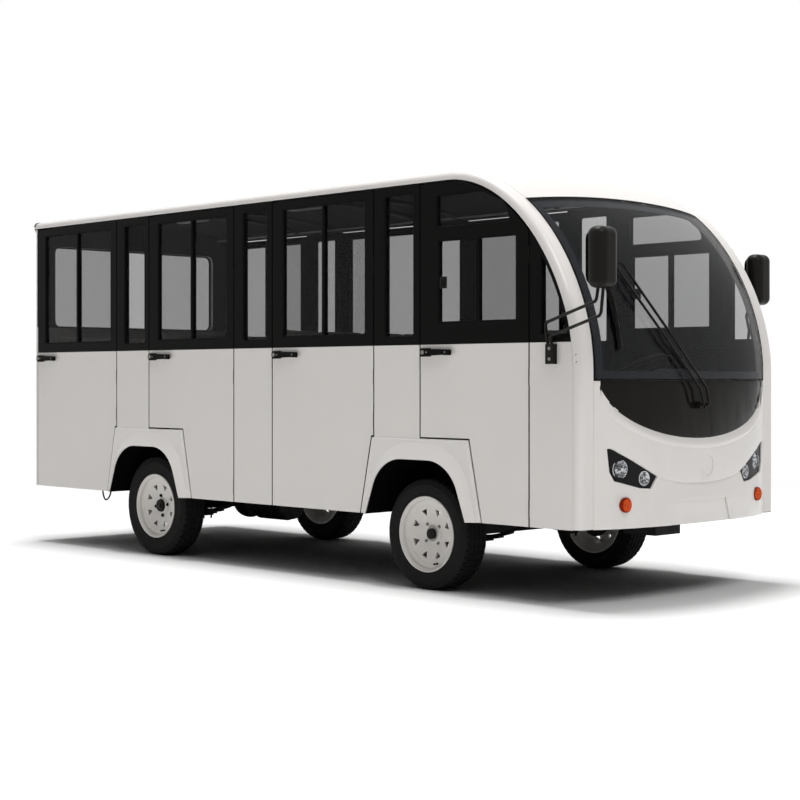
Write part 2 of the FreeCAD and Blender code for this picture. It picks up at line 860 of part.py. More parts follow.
panel_border = feature("panel_border", side_prism(size("hoop_depth")))
quarter_block = side_plate("quarter_block", WALL_INNER, "wall",
                           [rectangle(f"{SEAM_1} + {HALF_SEAM}", QUARTER_FRONT, "skirt_z", CANT_Z)])
QUARTER_WINDOW = rectangle(f"{SEAM_1} + {HALF_SEAM} + quarter_rear_margin", QUARTER_FRONT,
                           "pillar_sill_z", CANT_Z)
quarter_window = side_plate("quarter_window", WALL_INNER, "wall", [QUARTER_WINDOW])
window_border = feature("window_border", side_prism(size("hoop_depth + quarter_margin")))
quarter_opening = common("quarter_opening", quarter_window, window_border)
quarter_post = cut("quarter_post", common("quarter_outline", quarter_block, panel_border), quarter_opening)
quarter_panel = fuse("quarter_panel", [quarter_post] + hinge_set("quarter", SEAM_1, NOTCHES[1], False))
quarter_glass = side_plate("quarter_glass", GLASS_INNER, "glass", [QUARTER_WINDOW])
quarter_pane = common("quarter_pane", quarter_glass, window_border)
right_panels = pillars + [quarter_panel]
nodes["side_panels"] = group("side_panels", right_panels + [mirrored("left_" + item.Label, item)
                                                            for item in right_panels])

# ---------------------------------------------------------------- rear wall
rear_plate = plate("rear_plate", "YZ_Plane", REAR, f"post_depth - {HALF_SEAM}", [
    rectangle(f"-{SIDE}", SIDE, "skirt_z", CANT_Z),
])
doc.recompute()


def rear_wall_shape():
    depth = size(f"post_depth - {HALF_SEAM}")
    tab = Part.makeBox(depth, 2 * size(HOOP_Y), 300, Vector(size(REAR), -size(HOOP_Y), size(CANT_Z)))
    wall = rear_plate.Shape.fuse(tab.common(body_form(size("skin"), grow=60))).removeSplitter()
    posts = []
    for edge in wall.Edges:
        place = edge.CenterOfMass
        upright = edge.BoundBox.ZLength > 1000
        if upright and abs(place.x - size(REAR)) < 0.01 and abs(abs(place.y) - size(SIDE)) < 0.01:
            posts.append(edge)
    return wall.makeFillet(depth - 5, posts)


def rear_window_plate(label, offset, thickness):
    half = "rear_window_half"
    return plate(label, "YZ_Plane", offset, thickness, [
        rectangle(f"-{half}", half, "rear_window_sill_z", "rear_window_head_z", "rear_window_round"),
    ])


rear_opening = rear_window_plate("rear_opening", REAR, "post_depth")
rear_solid = feature("rear_solid", rear_wall_shape())
nodes["rear_wall"] = cut("rear_wall", rear_solid, rear_opening)
rear_pane = rear_window_plate("rear_pane", f"{REAR} + glass_depth", "glass")
right_panes = pillar_panes + [quarter_pane]
nodes["fixed_windows"] = group("fixed_windows", right_panes + [mirrored("left_" + item.Label, item)
                                                               for item in right_panes] + [rear_pane])

# ---------------------------------------------------------------- wheel arch flares and tubs
def arch_outline(axle, spread, foot, rise="0"):
    """The wheel arch's opening, moved out all round by spread and up by rise, its legs carried on to foot."""
    top = f"(arch_top_z + ({spread}) + ({rise}))"
    half_top = f"(arch_top_half + ({spread}))"
    lean = f"(arch_foot_half - arch_top_half) / ({top} - skirt_z)"
    half_foot = f"(arch_foot_half + ({spread}) + {lean} * (skirt_z - ({foot})))"
    bend = f"arch_round + ({spread}) + ({rise})"
    return [
        (f"{axle} - {half_foot}", foot),
        (f"{axle} + {half_foot}", foot),
        (f"{axle} + {half_top}", top, bend),
        (f"{axle} - {half_top}", top, bend),
    ]


BEVEL_TAPER = -40        # degrees; the edge of the raised plate


def arch_plate(label, inner_y, thickness, axle, taper=0.0):
    """The flare's flat plate, or its bevelled face."""
    body = new_body(label)
    sketch = new_sketch(body, "XZ_Plane", inner_y)
    draw_outline(sketch, [
        (f"{axle} - flare_foot_half", "skirt_z"),
        (f"{axle} + flare_foot_half", "skirt_z"),
        (f"{axle} + flare_top_half", "flare_top_z"),
        (f"{axle} - flare_top_half", "flare_top_z"),
    ])
    pad(body, sketch, thickness).TaperAngle = taper
    return body


def arch_lip(label, axle):
    """Lip that sweeps from a wide foot on the plate, widest over the wheel, out to the arch's edge."""
    body = new_body(label)
    foot = new_sketch(body, "XZ_Plane", SIDE)
    draw_outline(foot, arch_outline(axle, "lip_spread", "skirt_z", "lip_rise"))
    edge = new_sketch(body, "XZ_Plane", f"{SIDE} + flare_proud + lip_proud")
    draw_outline(edge, arch_outline(axle, "lip_edge", "skirt_z"))
    sweep = body.newObject("PartDesign::AdditiveLoft", "Loft")
    sweep.Profile = foot
    sweep.Sections = [edge]
    sweep.Ruled = True
    return body


def flare(label, axle):
    """Raised plate round a wheel arch with its swept lip, thin at the arch's edge."""
    backing = arch_plate(label + "_backing", WALL_INNER, "wall", axle)
    face = arch_plate(label + "_face", SIDE, "flare_proud", axle, BEVEL_TAPER)
    lip = arch_lip(label + "_lip", axle)
    opening = side_plate(label + "_opening", "0", f"{SIDE} + 200", [arch_outline(axle, "0", "skirt_z - 100")])
    relief = side_plate(label + "_relief", "0", TUB_OUT, [arch_outline(axle, "tub_head", "skirt_z - 100")])
    below = box(label + "_below", f"{axle} - 800", f"{axle} + 800", "-1000", "0", "0", "skirt_z")
    solid = fuse(label + "_solid", [backing, face, lip])
    return cut(label, solid, fuse(label + "_tools", [opening, relief, below]))


TUB_OUT = f"({SIDE} + flare_proud + lip_proud - lip_edge)"
flares = [flare("flare_front", FRONT_AXLE), flare("flare_rear", REAR_AXLE)]
left_flares = [mirrored("left_" + item.Label, item) for item in flares]
nodes["wheel_flares"] = group("wheel_flares", flares + left_flares)


def wheel_box(label, axle):
    """Black liner over a wheel: the arch carried inwards from the lip, closed by an inner wall."""
    outer = side_plate(label + "_outer", "tub_inner_y", f"{TUB_OUT} - tub_inner_y",
                       [arch_outline(axle, "tub_head", "skirt_z")])
    inner = side_plate(label + "_inner", "tub_inner_y + tub_wall", f"{TUB_OUT} - tub_inner_y",
                       [arch_outline(axle, "tub_head - tub_wall", "skirt_z - 20")])
    return outer, cut(label, outer, inner)


# ---------------------------------------------------------------- floor
deck = plate("deck", "XY_Plane", FLOOR_UNDER, "floor_plate", [
    rectangle(f"{REAR} + post_depth - {HALF_SEAM}", QUARTER_FRONT, f"-{WALL_INNER}", WALL_INNER),
])
bow_zone = Part.makeBox(600, 2 * size(HOOP_Y), size("floor_plate"),
                        Vector(size(QUARTER_FRONT), -size(HOOP_Y), size(FLOOR_UNDER)))
deck_bow = feature("deck_bow", body_form(size("skin")).common(bow_zone))
SILL_REAR = f"{REAR_AXLE} + arch_foot_half + tub_head"
SILL_FRONT = f"{FRONT_AXLE} - arch_foot_half - tub_head"
sill_right = box("sill_right", SILL_REAR, SILL_FRONT,
                 f"-{WALL_INNER}", f"-{WALL_INNER} + sill_width", "floor_z - sill_height", "floor_z")
wheel_boxes = [wheel_box("wheel_box_front", FRONT_AXLE), wheel_box("wheel_box_rear", REAR_AXLE)]
box_outers = [pair[0] for pair in wheel_boxes]
floor_solid = fuse("floor_solid", [deck, deck_bow, sill_right, mirrored("sill_left", sill_right)])
floor_tools = fuse("floor_tools", box_outers + [mirrored("left_" + item.Label, item) for item in box_outers])
nodes["floor_deck"] = cut("floor_deck", floor_solid, floor_tools)
right_boxes = [pair[1] for pair in wheel_boxes]
nodes["wheel_boxes"] = group("wheel_boxes", right_boxes + [mirrored("left_" + item.Label, item)
                                                           for item in right_boxes])

# ---------------------------------------------------------------- chassis frame
RAIL_IN = "(rail_y - rail_width / 2)"
RAIL_OUT = "(rail_y + rail_width / 2)"


SPRING_IN = "(spring_y - spring_width / 2)"
SPRING_OUT = "(spring_y + spring_width / 2)"
MEMBER_SHARES = (0.02, 0.17, 0.4, 0.57, 0.86, 0.96)  # along the rail, from the rear
AXLES = (
    ("front", FRONT_AXLE, "front_tyre_r", "beam_half"),
    ("rear", REAR_AXLE, "rear_tyre_r", "axle_tube_r"),
)


def eye_height(axle_z, axle_half):
    """Height of a spring's eyes: the spring hangs under the axle and its ends rise."""
    return f"({axle_z} - {axle_half} + spring_bed + spring_rise)"


def cross_member(index, share):
    middle = f"({RAIL_REAR} + {share} * ({RAIL_FRONT} - {RAIL_REAR}))"
    return box(f"cross_member_{index}", f"{middle} - member_half", f"{middle} + member_half",
               f"-{RAIL_OUT}", RAIL_OUT, f"{FLOOR_UNDER} - member_drop", FLOOR_UNDER)


def spring_hanger(label, x, eye_z):
    """Forked bracket on the rail's side with the pin that carries one end of a spring."""
    inner = f"{SPRING_IN} - running_gap - hanger_cheek"
    outer = f"{SPRING_OUT} + running_gap + hanger_cheek"
    block = side_plate(label + "_block", inner, f"{outer} - ({inner})", [[
        (f"{x} - 3 * spring_eye_r", f"{RAIL_UNDER} + 40"),
        (f"{x} + 3 * spring_eye_r", f"{RAIL_UNDER} + 40"),
        (f"{x} + spring_eye_r", f"{eye_z} - spring_eye_r", "10"),
        (f"{x} - spring_eye_r", f"{eye_z} - spring_eye_r", "10"),
    ]])
    slot = box(label + "_slot", f"{x} - 100", f"{x} + 100", f"-({SPRING_OUT} + running_gap)",
               f"-({SPRING_IN} - running_gap)", "0", f"{eye_z} + 2 * spring_eye_r")
    pin = cylinder(label + "_pin", "Y", x, f"-({outer})", eye_z, "spring_pin_r", f"{outer} - ({inner})")
    return [cut(label + "_fork", block, slot), pin]


RAIL_REAR = f"({REAR} + post_depth)"
RAIL_FRONT = "(nose_x - rail_front)"
rail_right = box("rail_right", RAIL_REAR, RAIL_FRONT, f"-{RAIL_OUT}", f"-{RAIL_IN}", RAIL_UNDER, FLOOR_UNDER)
frame_right = [rail_right]
for place, axle, axle_z, axle_half in AXLES:
    for end, sign in (("ahead", "+"), ("behind", "-")):
        frame_right += spring_hanger(f"hanger_{place}_{end}", f"({axle} {sign} spring_half)",
                                     eye_height(axle_z, axle_half))
members = [cross_member(index, share) for index, share in enumerate(MEMBER_SHARES, start=1)]
tow_solid = box("tow_solid", "nose_x - rail_front", "nose_x - rail_front + tow_len", "-(tow_y + tow_half)",
                "-(tow_y - tow_half)", "skirt_z - tow_drop", f"{RAIL_UNDER} + tow_drop")
tow_bore = cylinder("tow_bore", "Z", "nose_x - rail_front + tow_len - tow_pin_x", "-tow_y", "0",
                    "tow_pin_r", "2 * floor_z")
nodes["tow_block"] = cut("tow_block", tow_solid, tow_bore)
nodes["chassis_frame"] = fuse("chassis_frame", frame_right + members
                              + [mirrored("left_" + item.Label, item) for item in frame_right])

# ---------------------------------------------------------------- springs and axles
KINGPIN_Y = "(track / 2 - kingpin_inset)"
SPINDLE_END = "-(track / 2 + rim_width / 2 - hub_face - running_gap)"
LEAF_SHARES = (1, 0.78, 0.56, 0.34)  # of the main leaf's length, from the top leaf down


def leaf_edge(axle, under, level):
    """Corners of one face of a leaf, from the rear eye to the front eye: a shallow arc with straight ends."""
    end = f"{under} + spring_rise - {level} * leaf"
    middle = f"{under} - 0.74 * spring_rise - {level} * leaf"
    bend = f"0.489 * spring_half * spring_half / spring_rise + {level} * leaf"
    return [(f"{axle} - spring_half", end), (axle, middle, bend), (f"{axle} + spring_half", end)]


def leaf_spring(label, axle, under):
    """Leaves laid up under the axle, the main leaf on top with an eye at each end."""
    pieces = []
    for level, share in enumerate(LEAF_SHARES):
        outline = leaf_edge(axle, under, level) + leaf_edge(axle, under, level + 1)[::-1]
        blank = side_plate(f"{label}_blank_{level + 1}", SPRING_IN, "spring_width", [outline])
        reach = f"{share} * spring_half"
        span = box(f"{label}_span_{level + 1}", f"{axle} - {reach}", f"{axle} + {reach}",
                   f"-{SPRING_OUT}", f"-{SPRING_IN}", "0", "skirt_z")
        pieces.append(common(f"{label}_leaf_{level + 1}", blank, span))
    eye_z = f"({under} + spring_rise)"
    bores = []
    for end, sign in (("ahead", "+"), ("behind", "-")):
        place = (f"{axle} {sign} spring_half", f"-{SPRING_OUT}", eye_z)
        pieces.append(cylinder(f"{label}_eye_{end}", "Y", *place, "spring_eye_r", "spring_width"))
        bores.append(cylinder(f"{label}_bore_{end}", "Y", *place, "spring_pin_r + running_gap",
                              "spring_width"))
    return cut(label, fuse(label + "_solid", pieces), fuse(label + "_bores", bores))


def spring_clamp(label, axle, axle_z, axle_half):
    """Two U-bolts over the axle and the plate under the leaves that they pull up."""
    pack_under = f"({axle_z} - {axle_half} + spring_bed - {len(LEAF_SHARES)} * leaf)"
    reach = f"({axle_half} + clamp_r - spring_bed / 2)"
    bolt_out = "(spring_width / 2 + clamp_r)"
    pieces = [box(label + "_plate", f"{axle} - {reach} - 2 * clamp_r", f"{axle} + {reach} + 2 * clamp_r",
                  f"-(spring_y + {bolt_out} + 2 * clamp_r)", f"-(spring_y - {bolt_out} - 2 * clamp_r)",
                  f"{pack_under} + spring_bed - clamp_plate", f"{pack_under} + spring_bed")]
    for row, shift in (("inner", "-"), ("outer", "+")):
        y = f"-(spring_y {shift} {bolt_out})"
        top = f"({axle_z} + {axle_half} + clamp_r - spring_bed / 2)"
        pieces.append(cylinder(f"{label}_{row}_bow", "X", f"{axle} - {reach}", y, top, "clamp_r",
                               f"2 * {reach}"))
        for end, sign in (("ahead", "+"), ("behind", "-")):
            low = f"({pack_under} - 3 * clamp_plate)"
            pieces.append(cylinder(f"{label}_{row}_{end}", "Z", f"{axle} {sign} {reach}", y, low, "clamp_r",
                                   f"{top} - {low}"))
    return pieces


def spring_and_clamp(place, axle, axle_z, axle_half):
    under = f"({axle_z} - {axle_half} + spring_bed)"
    return [leaf_spring(f"{place}_spring_right", axle, under)] + spring_clamp(
        f"{place}_clamp_right", axle, axle_z, axle_half)


front_beam = box("front_beam", f"{FRONT_AXLE} - beam_half", f"{FRONT_AXLE} + beam_half",
                 f"-{KINGPIN_Y}", KINGPIN_Y, "front_tyre_r - beam_half", "front_tyre_r + beam_half")
boss_right = cylinder("boss_right", "Z", FRONT_AXLE, f"-{KINGPIN_Y}", "front_tyre_r - boss_half",
                      "boss_r", "2 * boss_half")
pin_right = cylinder("pin_right", "Z", FRONT_AXLE, f"-{KINGPIN_Y}", "front_tyre_r - kingpin_half",
                     "kingpin_r", "2 * kingpin_half")
front_side = [boss_right, pin_right] + spring_and_clamp(*AXLES[0])
nodes["front_axle"] = fuse("front_axle", [front_beam] + front_side
                           + [mirrored("left_" + item.Label, item) for item in front_side])

TUBE_HALF = "(track / 2 - axle_tube_inset)"
axle_tube = cylinder("axle_tube", "Y", REAR_AXLE, f"-{TUBE_HALF}", "rear_tyre_r", "axle_tube_r",
                     f"2 * {TUBE_HALF}")
axle_flange = cylinder("axle_flange_right", "Y", REAR_AXLE, "-(track / 2 - yoke_reach)", "rear_tyre_r",
                       "brake_r", "brake_plate")
spindle_right = cylinder("spindle_right", "Y", REAR_AXLE, SPINDLE_END, "rear_tyre_r", "spindle_r",
                         "axle_tube_inset + rim_width / 2")
final_drive = doc.addObject("Part::Sphere", "Sphere")
final_drive.Label = "final_drive"
final_drive.setExpression("Radius", bound("final_drive_r"))
final_drive.setExpression("Placement.Base.x", bound(REAR_AXLE))
final_drive.setExpression("Placement.Base.z", bound("rear_tyre_r"))
rear_side = [axle_flange, spindle_right] + spring_and_clamp(*AXLES[1])
nodes["rear_axle"] = fuse("rear_axle", [axle_tube, final_drive] + rear_side
                          + [mirrored("left_" + item.Label, item) for item in rear_side])
motor_case = cylinder("motor_case", "X", f"{REAR_AXLE} + final_drive_r / 2", "0", "rear_tyre_r",
                      "motor_r", "motor_len")
nodes["drive_motor"] = cut("drive_motor", motor_case, final_drive)
BATTERY_FRONT = "(nose_x - battery_front)"
nodes["battery_pack"] = box("battery_pack", f"{BATTERY_FRONT} - battery_len", BATTERY_FRONT,
                            "-battery_half", "battery_half", "floor_z", "battery_top_z")


# ---------------------------------------------------------------- front knuckles
def knuckle(label):
    """Yoke round the axle's boss, brake plate and spindle."""
    x = FRONT_AXLE
    z = "front_tyre_r"
    out = f"-({KINGPIN_Y} + yoke_reach)"
    rear, ahead = f"{x} - yoke_half", f"{x} + yoke_half"
    top, bottom = f"({z} + yoke_half_height)", f"({z} - yoke_half_height)"
    upper = box(label + "_upper", rear, ahead, out, f"-({KINGPIN_Y} - yoke_half)",
                f"{z} + boss_half + running_gap", top)
    lower = box(label + "_lower", rear, ahead, out, f"-({KINGPIN_Y} - yoke_half)",
                bottom, f"{z} - boss_half - running_gap")
    web = box(label + "_web", rear, ahead, out, f"-({KINGPIN_Y} + boss_r + brake_plate)", bottom, top)
    brake_plate = cylinder(label + "_brake_plate", "Y", x, f"{out} - 4", z, "brake_r", "brake_plate")
    spindle = cylinder(label + "_spindle", "Y", x, SPINDLE_END, z, "spindle_r",
                       f"-{SPINDLE_END} - {KINGPIN_Y} - yoke_reach + 4")
    bore = cylinder(label + "_bore", "Z", x, f"-{KINGPIN_Y}", f"{bottom} - 20", "kingpin_r + running_gap",
                    "2 * yoke_half_height + 40")
    return cut(label, fuse(label + "_solid", [upper, lower, web, brake_plate, spindle]), bore)


nodes["knuckle_right"] = knuckle("knuckle_right")
nodes["knuckle_left"] = mirrored("knuckle_left", nodes["knuckle_right"])


# ---------------------------------------------------------------- wheels
WHEEL_PHASE = 22.5       # degrees; the vents stand either side of the uprights


def at_wheel(item, x, y, z, turned):
    item.Placement = Placement(Vector(), Rotation(Vector(0, 0, 1), 180 if turned else 0).multiply(
        Rotation(Vector(0, 1, 0), WHEEL_PHASE)))
    for axis, value in (("x", x), ("y", y), ("z", z)):
        item.setExpression(f"Placement.Base.{axis}", bound(value))


def tyre(label, x, y, radius, turned):
    """Road tyre: bead, bulged sidewall, rounded shoulder and flat tread."""
    body = new_body(label)
    sketch = new_sketch(body, "YZ_Plane")
    bead = "(rim_r - 16)"
    draw_outline(sketch, [
        ("-rim_width / 2 + 12", bead),
        ("rim_width / 2 - 12", bead),
        ("rim_width / 2 - 10", "rim_r + 2", "8"),
        ("tyre_width / 2", f"rim_r + ({radius} - rim_r) * 0.5", "40"),
        ("tyre_width / 2 - 12", radius, "22"),
        ("-tyre_width / 2 + 12", radius, "22"),
        ("-tyre_width / 2", f"rim_r + ({radius} - rim_r) * 0.5", "40"),
        ("-rim_width / 2 + 10", "rim_r + 2", "8"),
    ])
    revolve(body, sketch)
    at_wheel(body, x, y, radius, turned)
    return body


def rim(label, x, y, height, turned):
    """Pressed steel wheel, outer side towards -Y: dished barrel, vented disc and hub."""
    body = new_body(label)
    sketch = new_sketch(body, "YZ_Plane")
    draw_outline(sketch, [
        ("-rim_width / 2", "rim_r"),
        ("-rim_width / 2", "rim_r - 6"),
        ("-rim_width / 2 + 10", "rim_r - 16", "5"),
        ("-rim_width / 2 + 24", "rim_r - 19", "5"),
        ("-rim_width / 2 + 28", "rim_r - 38", "7"),
        ("-rim_width / 2 + disc_recess", "rim_r - 44", "8"),
        ("-rim_width / 2 + hub_face", "hub_boss_r + 6", "8"),
        ("-rim_width / 2 + hub_face - 10", "hub_boss_r"),
        ("-rim_width / 2 + hub_face - 10", "hub_cap_r"),
        ("-rim_width / 2 + hub_face - 20", "hub_cap_r - 4", "3"),
        ("-rim_width / 2 + hub_face - 20", "0"),
        ("-rim_width / 2 + hub_face", "0"),
        ("-rim_width / 2 + hub_face", "spindle_r + running_gap"),
        ("rim_width / 2 - hub_setback", "spindle_r + running_gap"),
        ("rim_width / 2 - hub_setback", "70"),
        ("-rim_width / 2 + hub_face + 10", "66"),
        ("-rim_width / 2 + disc_recess + 10", "rim_r - 50", "8"),
        ("rim_width / 2 - 34", "rim_r - 50", "8"),
        ("rim_width / 2 - 12", "rim_r - 24", "6"),
        ("rim_width / 2", "rim_r - 6"),
        ("rim_width / 2", "rim_r"),
        ("rim_width / 2 - 4", "rim_r"),
        ("rim_width / 2 - 12", "rim_r - 16"),
        ("-rim_width / 2 + 12", "rim_r - 16"),
        ("-rim_width / 2 + 4", "rim_r"),
    ])
    revolve(body, sketch)
    vent_sketch = new_sketch(body, "XZ_Plane")
    draw_outline(vent_sketch, [("-vent_half", "vent_outer_r", "4"), ("vent_half", "vent_outer_r", "4"),
                               ("0", "vent_inner_r", "3")])
    vent = pocket(body, vent_sketch, midplane=True)
    vents = body.newObject("PartDesign::PolarPattern", "Vents")
    vents.Originals = [vent]
    vents.Axis = (vent_sketch, ["N_Axis"])
    vents.Occurrences = 8
    body.Tip = vents
    at_wheel(body, x, y, height, turned)
    return body


WHEELS = (
    ("front_right", FRONT_AXLE, "-track / 2", "front_tyre_r", False),
    ("front_left", FRONT_AXLE, "track / 2", "front_tyre_r", True),
    ("rear_right", REAR_AXLE, "-track / 2", "rear_tyre_r", False),
    ("rear_left", REAR_AXLE, "track / 2", "rear_tyre_r", True),
)
for place, x, y, radius, turned in WHEELS:
    nodes[f"tyre_{place}"] = tyre(f"tyre_{place}", x, y, radius, turned)
    nodes[f"rim_{place}"] = rim(f"rim_{place}", x, y, radius, turned)

# ---------------------------------------------------------------- doors
DOOR_INNER = f"({SIDE} - door_wall)"
DOOR_TOP = f"({CANT_Z} - seam)"
door_border = feature("door_border", side_prism(size("hoop_depth + seam")))


def door_outline(rear, front, notch, axle):
    """Side view of a door, with the corner beside the wheel arch flare left out."""
    back = f"{rear} + {HALF_SEAM}"
    ahead = f"{front} - {HALF_SEAM}"
    over = "flare_top_z + seam"
    if notch == "rear":
        foot = [(back, over), (f"{axle} + flare_top_half + seam", over),
                (f"{axle} + flare_foot_half + seam", "skirt_z"), (ahead, "skirt_z")]
    else:
        foot = [(back, "skirt_z"), (f"{axle} - flare_foot_half - seam", "skirt_z"),
                (f"{axle} - flare_top_half - seam", over), (ahead, over)]
    return foot + [(ahead, DOOR_TOP), (back, DOOR_TOP)]


def split_window(rear, front, low, high, radius):
    """Two lights either side of the slider's divider."""
    middle = f"(({rear}) + ({front})) / 2"
    return [rectangle(rear, f"{middle} - divider / 2", low, high, radius),
            rectangle(f"{middle} + divider / 2", front, low, high, radius)]


def cab_upper_window(rear, front):
    return [
        (f"{rear} + cab_rear_margin - 12", "cab_upper_z", "14"),
        (f"{front} - 104", "cab_upper_z", "20"),
        (f"{front} - 150", "cab_head_z - 58", "60"),
        (f"{front} - 290", "cab_head_z", "160"),
        (f"{rear} + cab_rear_margin - 12", "cab_head_z", "14"),
    ]


def door_windows(kind, rear, front):
    if kind == "cab":
        lower = split_window(f"{rear} + cab_rear_margin", f"{front} - cab_front_margin",
                             "cab_sill_z", "cab_transom_z", "window_round")
        return lower + [cab_upper_window(rear, front)]
    return split_window(f"{rear} + window_rear_margin", f"{front} - window_front_margin",
                        "door_sill_z", "door_head_z", "window_round")


def door_handle(label, rear):
    """Swing handle: keyed base at the rear, tapered lever forward along the belt."""
    x = f"({rear} + {HALF_SEAM} + handle_inset)"
    z = "(belt_z - handle_drop)"
    block = side_plate(label + "_block", f"{SIDE} - 2", "handle_proud + 2", [
        rectangle(f"{x} - 0.4 * handle_base", f"{x} + 0.6 * handle_base",
                  f"{z} - handle_half", f"{z} + handle_half", "handle_half / 2")])
    lock_end = f"({SIDE} + handle_proud + lever_thick - 4)"
    lock = cylinder(label + "_lock", "Y", x, f"-{lock_end}", z, "lock_r", f"{lock_end} - {SIDE}")
    tip = f"{x} + handle_len"
    lever = side_plate(label + "_lever", f"{SIDE} + handle_proud - 4", "lever_thick", [[
        (x, f"{z} - 0.85 * handle_half", "handle_half / 3"),
        (f"{x} + 0.68 * handle_len", f"{z} - 0.65 * handle_half", "30"),
        (tip, f"{z} - 0.8 * handle_half", "8"),
        (tip, f"{z} + 0.6 * handle_half", "8"),
        (x, f"{z} + 0.85 * handle_half", "handle_half / 3"),
    ]])
    return [block, lock, lever]


DOORS = (
    (1, "cab", SEAM_2, SEAM_1, "rear", FRONT_AXLE),
    (2, "side", SEAM_4, SEAM_3, "front", FRONT_AXLE),
    (3, "side", SEAM_6, SEAM_5, "rear", REAR_AXLE),
    (4, "side", SEAM_8, SEAM_7, "front", REAR_AXLE),
)
for number, kind, rear, front, notch, axle in DOORS:
    name = f"door_{number}_right"
    panel = side_plate(name + "_panel", DOOR_INNER, "door_wall",
                       [door_outline(rear, front, notch, axle)] + door_windows(kind, rear, front))
    if kind == "cab":
        panel = common(name + "_trimmed", panel, door_border)
    fittings = door_handle(name + "_handle", rear)
    fittings += hinge_set(name, front, notch, True)
    nodes[name] = fuse(name, [panel] + fittings)
    panes = side_plate(name + "_pane_solid", GLASS_INNER, "glass", door_windows(kind, rear, front))
    nodes[f"glass_{number}_right"] = panes
    panes.Label = f"glass_{number}_right"
    nodes[f"door_{number}_left"] = mirrored(f"door_{number}_left", nodes[name])
    nodes[f"glass_{number}_left"] = mirrored(f"glass_{number}_left", panes)

# ---------------------------------------------------------------- seats
ROWS = 4
PAN_TOP = "(seat_pan_z + pan_thick)"
seat_frames = []
cushions = []
for row in range(ROWS):
    back = f"(nose_x - seat_first_back - {row} * seat_row_pitch)"
    front = f"({back} + seat_depth + seat_nose)"
    rest_rear = f"{back} + back_foot - back_thick"
    rest_front = f"{back} + back_foot"
    rest_top = f"{PAN_TOP} + seat_thick + back_height"
    cushion = plate(f"cushion_{row + 1}", "XZ_Plane", "-seat_half", "2 * seat_half", [
        rectangle(f"{rest_front} + running_gap", front, f"{PAN_TOP} + running_gap",
                  f"{PAN_TOP} + seat_thick", "seat_round"),
    ])
    rest = plate(f"backrest_{row + 1}", "XZ_Plane", "-seat_half", "2 * seat_half", [[
        (rest_rear, f"{PAN_TOP} + running_gap"),
        (rest_front, f"{PAN_TOP} + running_gap"),
        (rest_front, f"{PAN_TOP} + seat_thick"),
        (f"{rest_front} - back_lean", rest_top, "seat_round"),
        (f"{rest_front} - back_lean - back_top", rest_top, "seat_round"),
    ]])
    cushions += [cushion, rest]
    pan = box(f"pan_{row + 1}", rest_rear, front, "-seat_half", "seat_half", "seat_pan_z", PAN_TOP)
    apron = box(f"apron_{row + 1}", f"{front} - apron_thick", front, "-seat_half", "seat_half",
                "floor_z", "seat_pan_z")
    legs = [box(f"leg_{row + 1}_{side}", f"{rest_front} - 3 * leg_half", f"{rest_front} - leg_half",
                f"{middle} - leg_half", f"{middle} + leg_half", "floor_z", "seat_pan_z")
            for side, middle in (("right", "-leg_y"), ("left", "leg_y"))]
    seat_frames.append(fuse(f"seat_frame_{row + 1}", [pan, apron] + legs))
nodes["seat_cushions"] = group("seat_cushions", cushions)
nodes["seat_frames"] = group("seat_frames", seat_frames)

# ---------------------------------------------------------------- dashboard and steering wheel
DASH_FRONT = "(nose_x + nose_bulge)"
DASH_TOP = "(screen_base_z - dash_gap)"
dash_block = plate("dash_block", "XZ_Plane", "-dash_half", "2 * dash_half", [[
    ("nose_x - dash_foot", "floor_z"),
    (DASH_FRONT, "floor_z"),
    (DASH_FRONT, DASH_TOP),
    ("nose_x - dash_top", f"{DASH_TOP} + 8", "1.5 * dash_round"),
    ("nose_x - dash_brow", "dash_brow_z", "1.5 * dash_round"),
    ("nose_x - dash_lip", "dash_lip_z", "dash_round"),
    ("nose_x - dash_knee", "dash_knee_z", "dash_round"),
    ("nose_x - dash_foot", "dash_foot_z", "dash_round"),
]])
doc.recompute()
dash_pieces = dash_block.Shape.common(body_form(size("skin"))).cut(housings)
dash_fitted = feature("dash_fitted", max(dash_pieces.Solids, key=lambda solid: solid.Volume))
COLUMN_TILT = 35         # degrees from upright
STEERING_SPOKES = 3


def on_column(item, turn):
    """Places a piece at the steering wheel's middle, turned in the vehicle's X-Z plane."""
    item.Placement = Placement(Vector(), turn)
    for axis, value in (("x", "nose_x - steering_back"), ("y", "steering_y"), ("z", "steering_z")):
        item.setExpression(f"Placement.Base.{axis}", bound(value))


def column_bar(label, radius, length):
    """Round bar down the steering column from the steering wheel's middle."""
    bar = doc.addObject("Part::Cylinder", "Cylinder")
    bar.Label = label
    bar.setExpression("Radius", bound(radius))
    bar.setExpression("Height", bound(length))
    on_column(bar, Rotation(Vector(0, 1, 0), 180 - COLUMN_TILT))
    return bar


def steering_spoke(label, turn):
    spoke = cylinder(label, "X", "0", "0", "0", "steering_spoke_r", "steering_ring_r")
    on_column(spoke, WHEEL_TURN.multiply(Rotation(Vector(0, 0, 1), turn)).multiply(AXES["X"]))
    return spoke


WHEEL_TURN = Rotation(Vector(0, 1, 0), -COLUMN_TILT)
column_hole = column_bar("column_hole", "column_r + running_gap", "2 * column_len")
nodes["dashboard"] = cut("dashboard", dash_fitted, column_hole)
ring = doc.addObject("Part::Torus", "Torus")
ring.Label = "steering_ring"
ring.setExpression("Radius1", bound("steering_ring_r"))
ring.setExpression("Radius2", bound("steering_grip_r"))
on_column(ring, WHEEL_TURN)
column = column_bar("steering_column", "column_r", "column_len")
spokes = [steering_spoke(f"steering_spoke_{index + 1}", index * 360 / STEERING_SPOKES)
          for index in range(STEERING_SPOKES)]
nodes["steering_wheel"] = fuse("steering_wheel", [ring, column] + spokes)


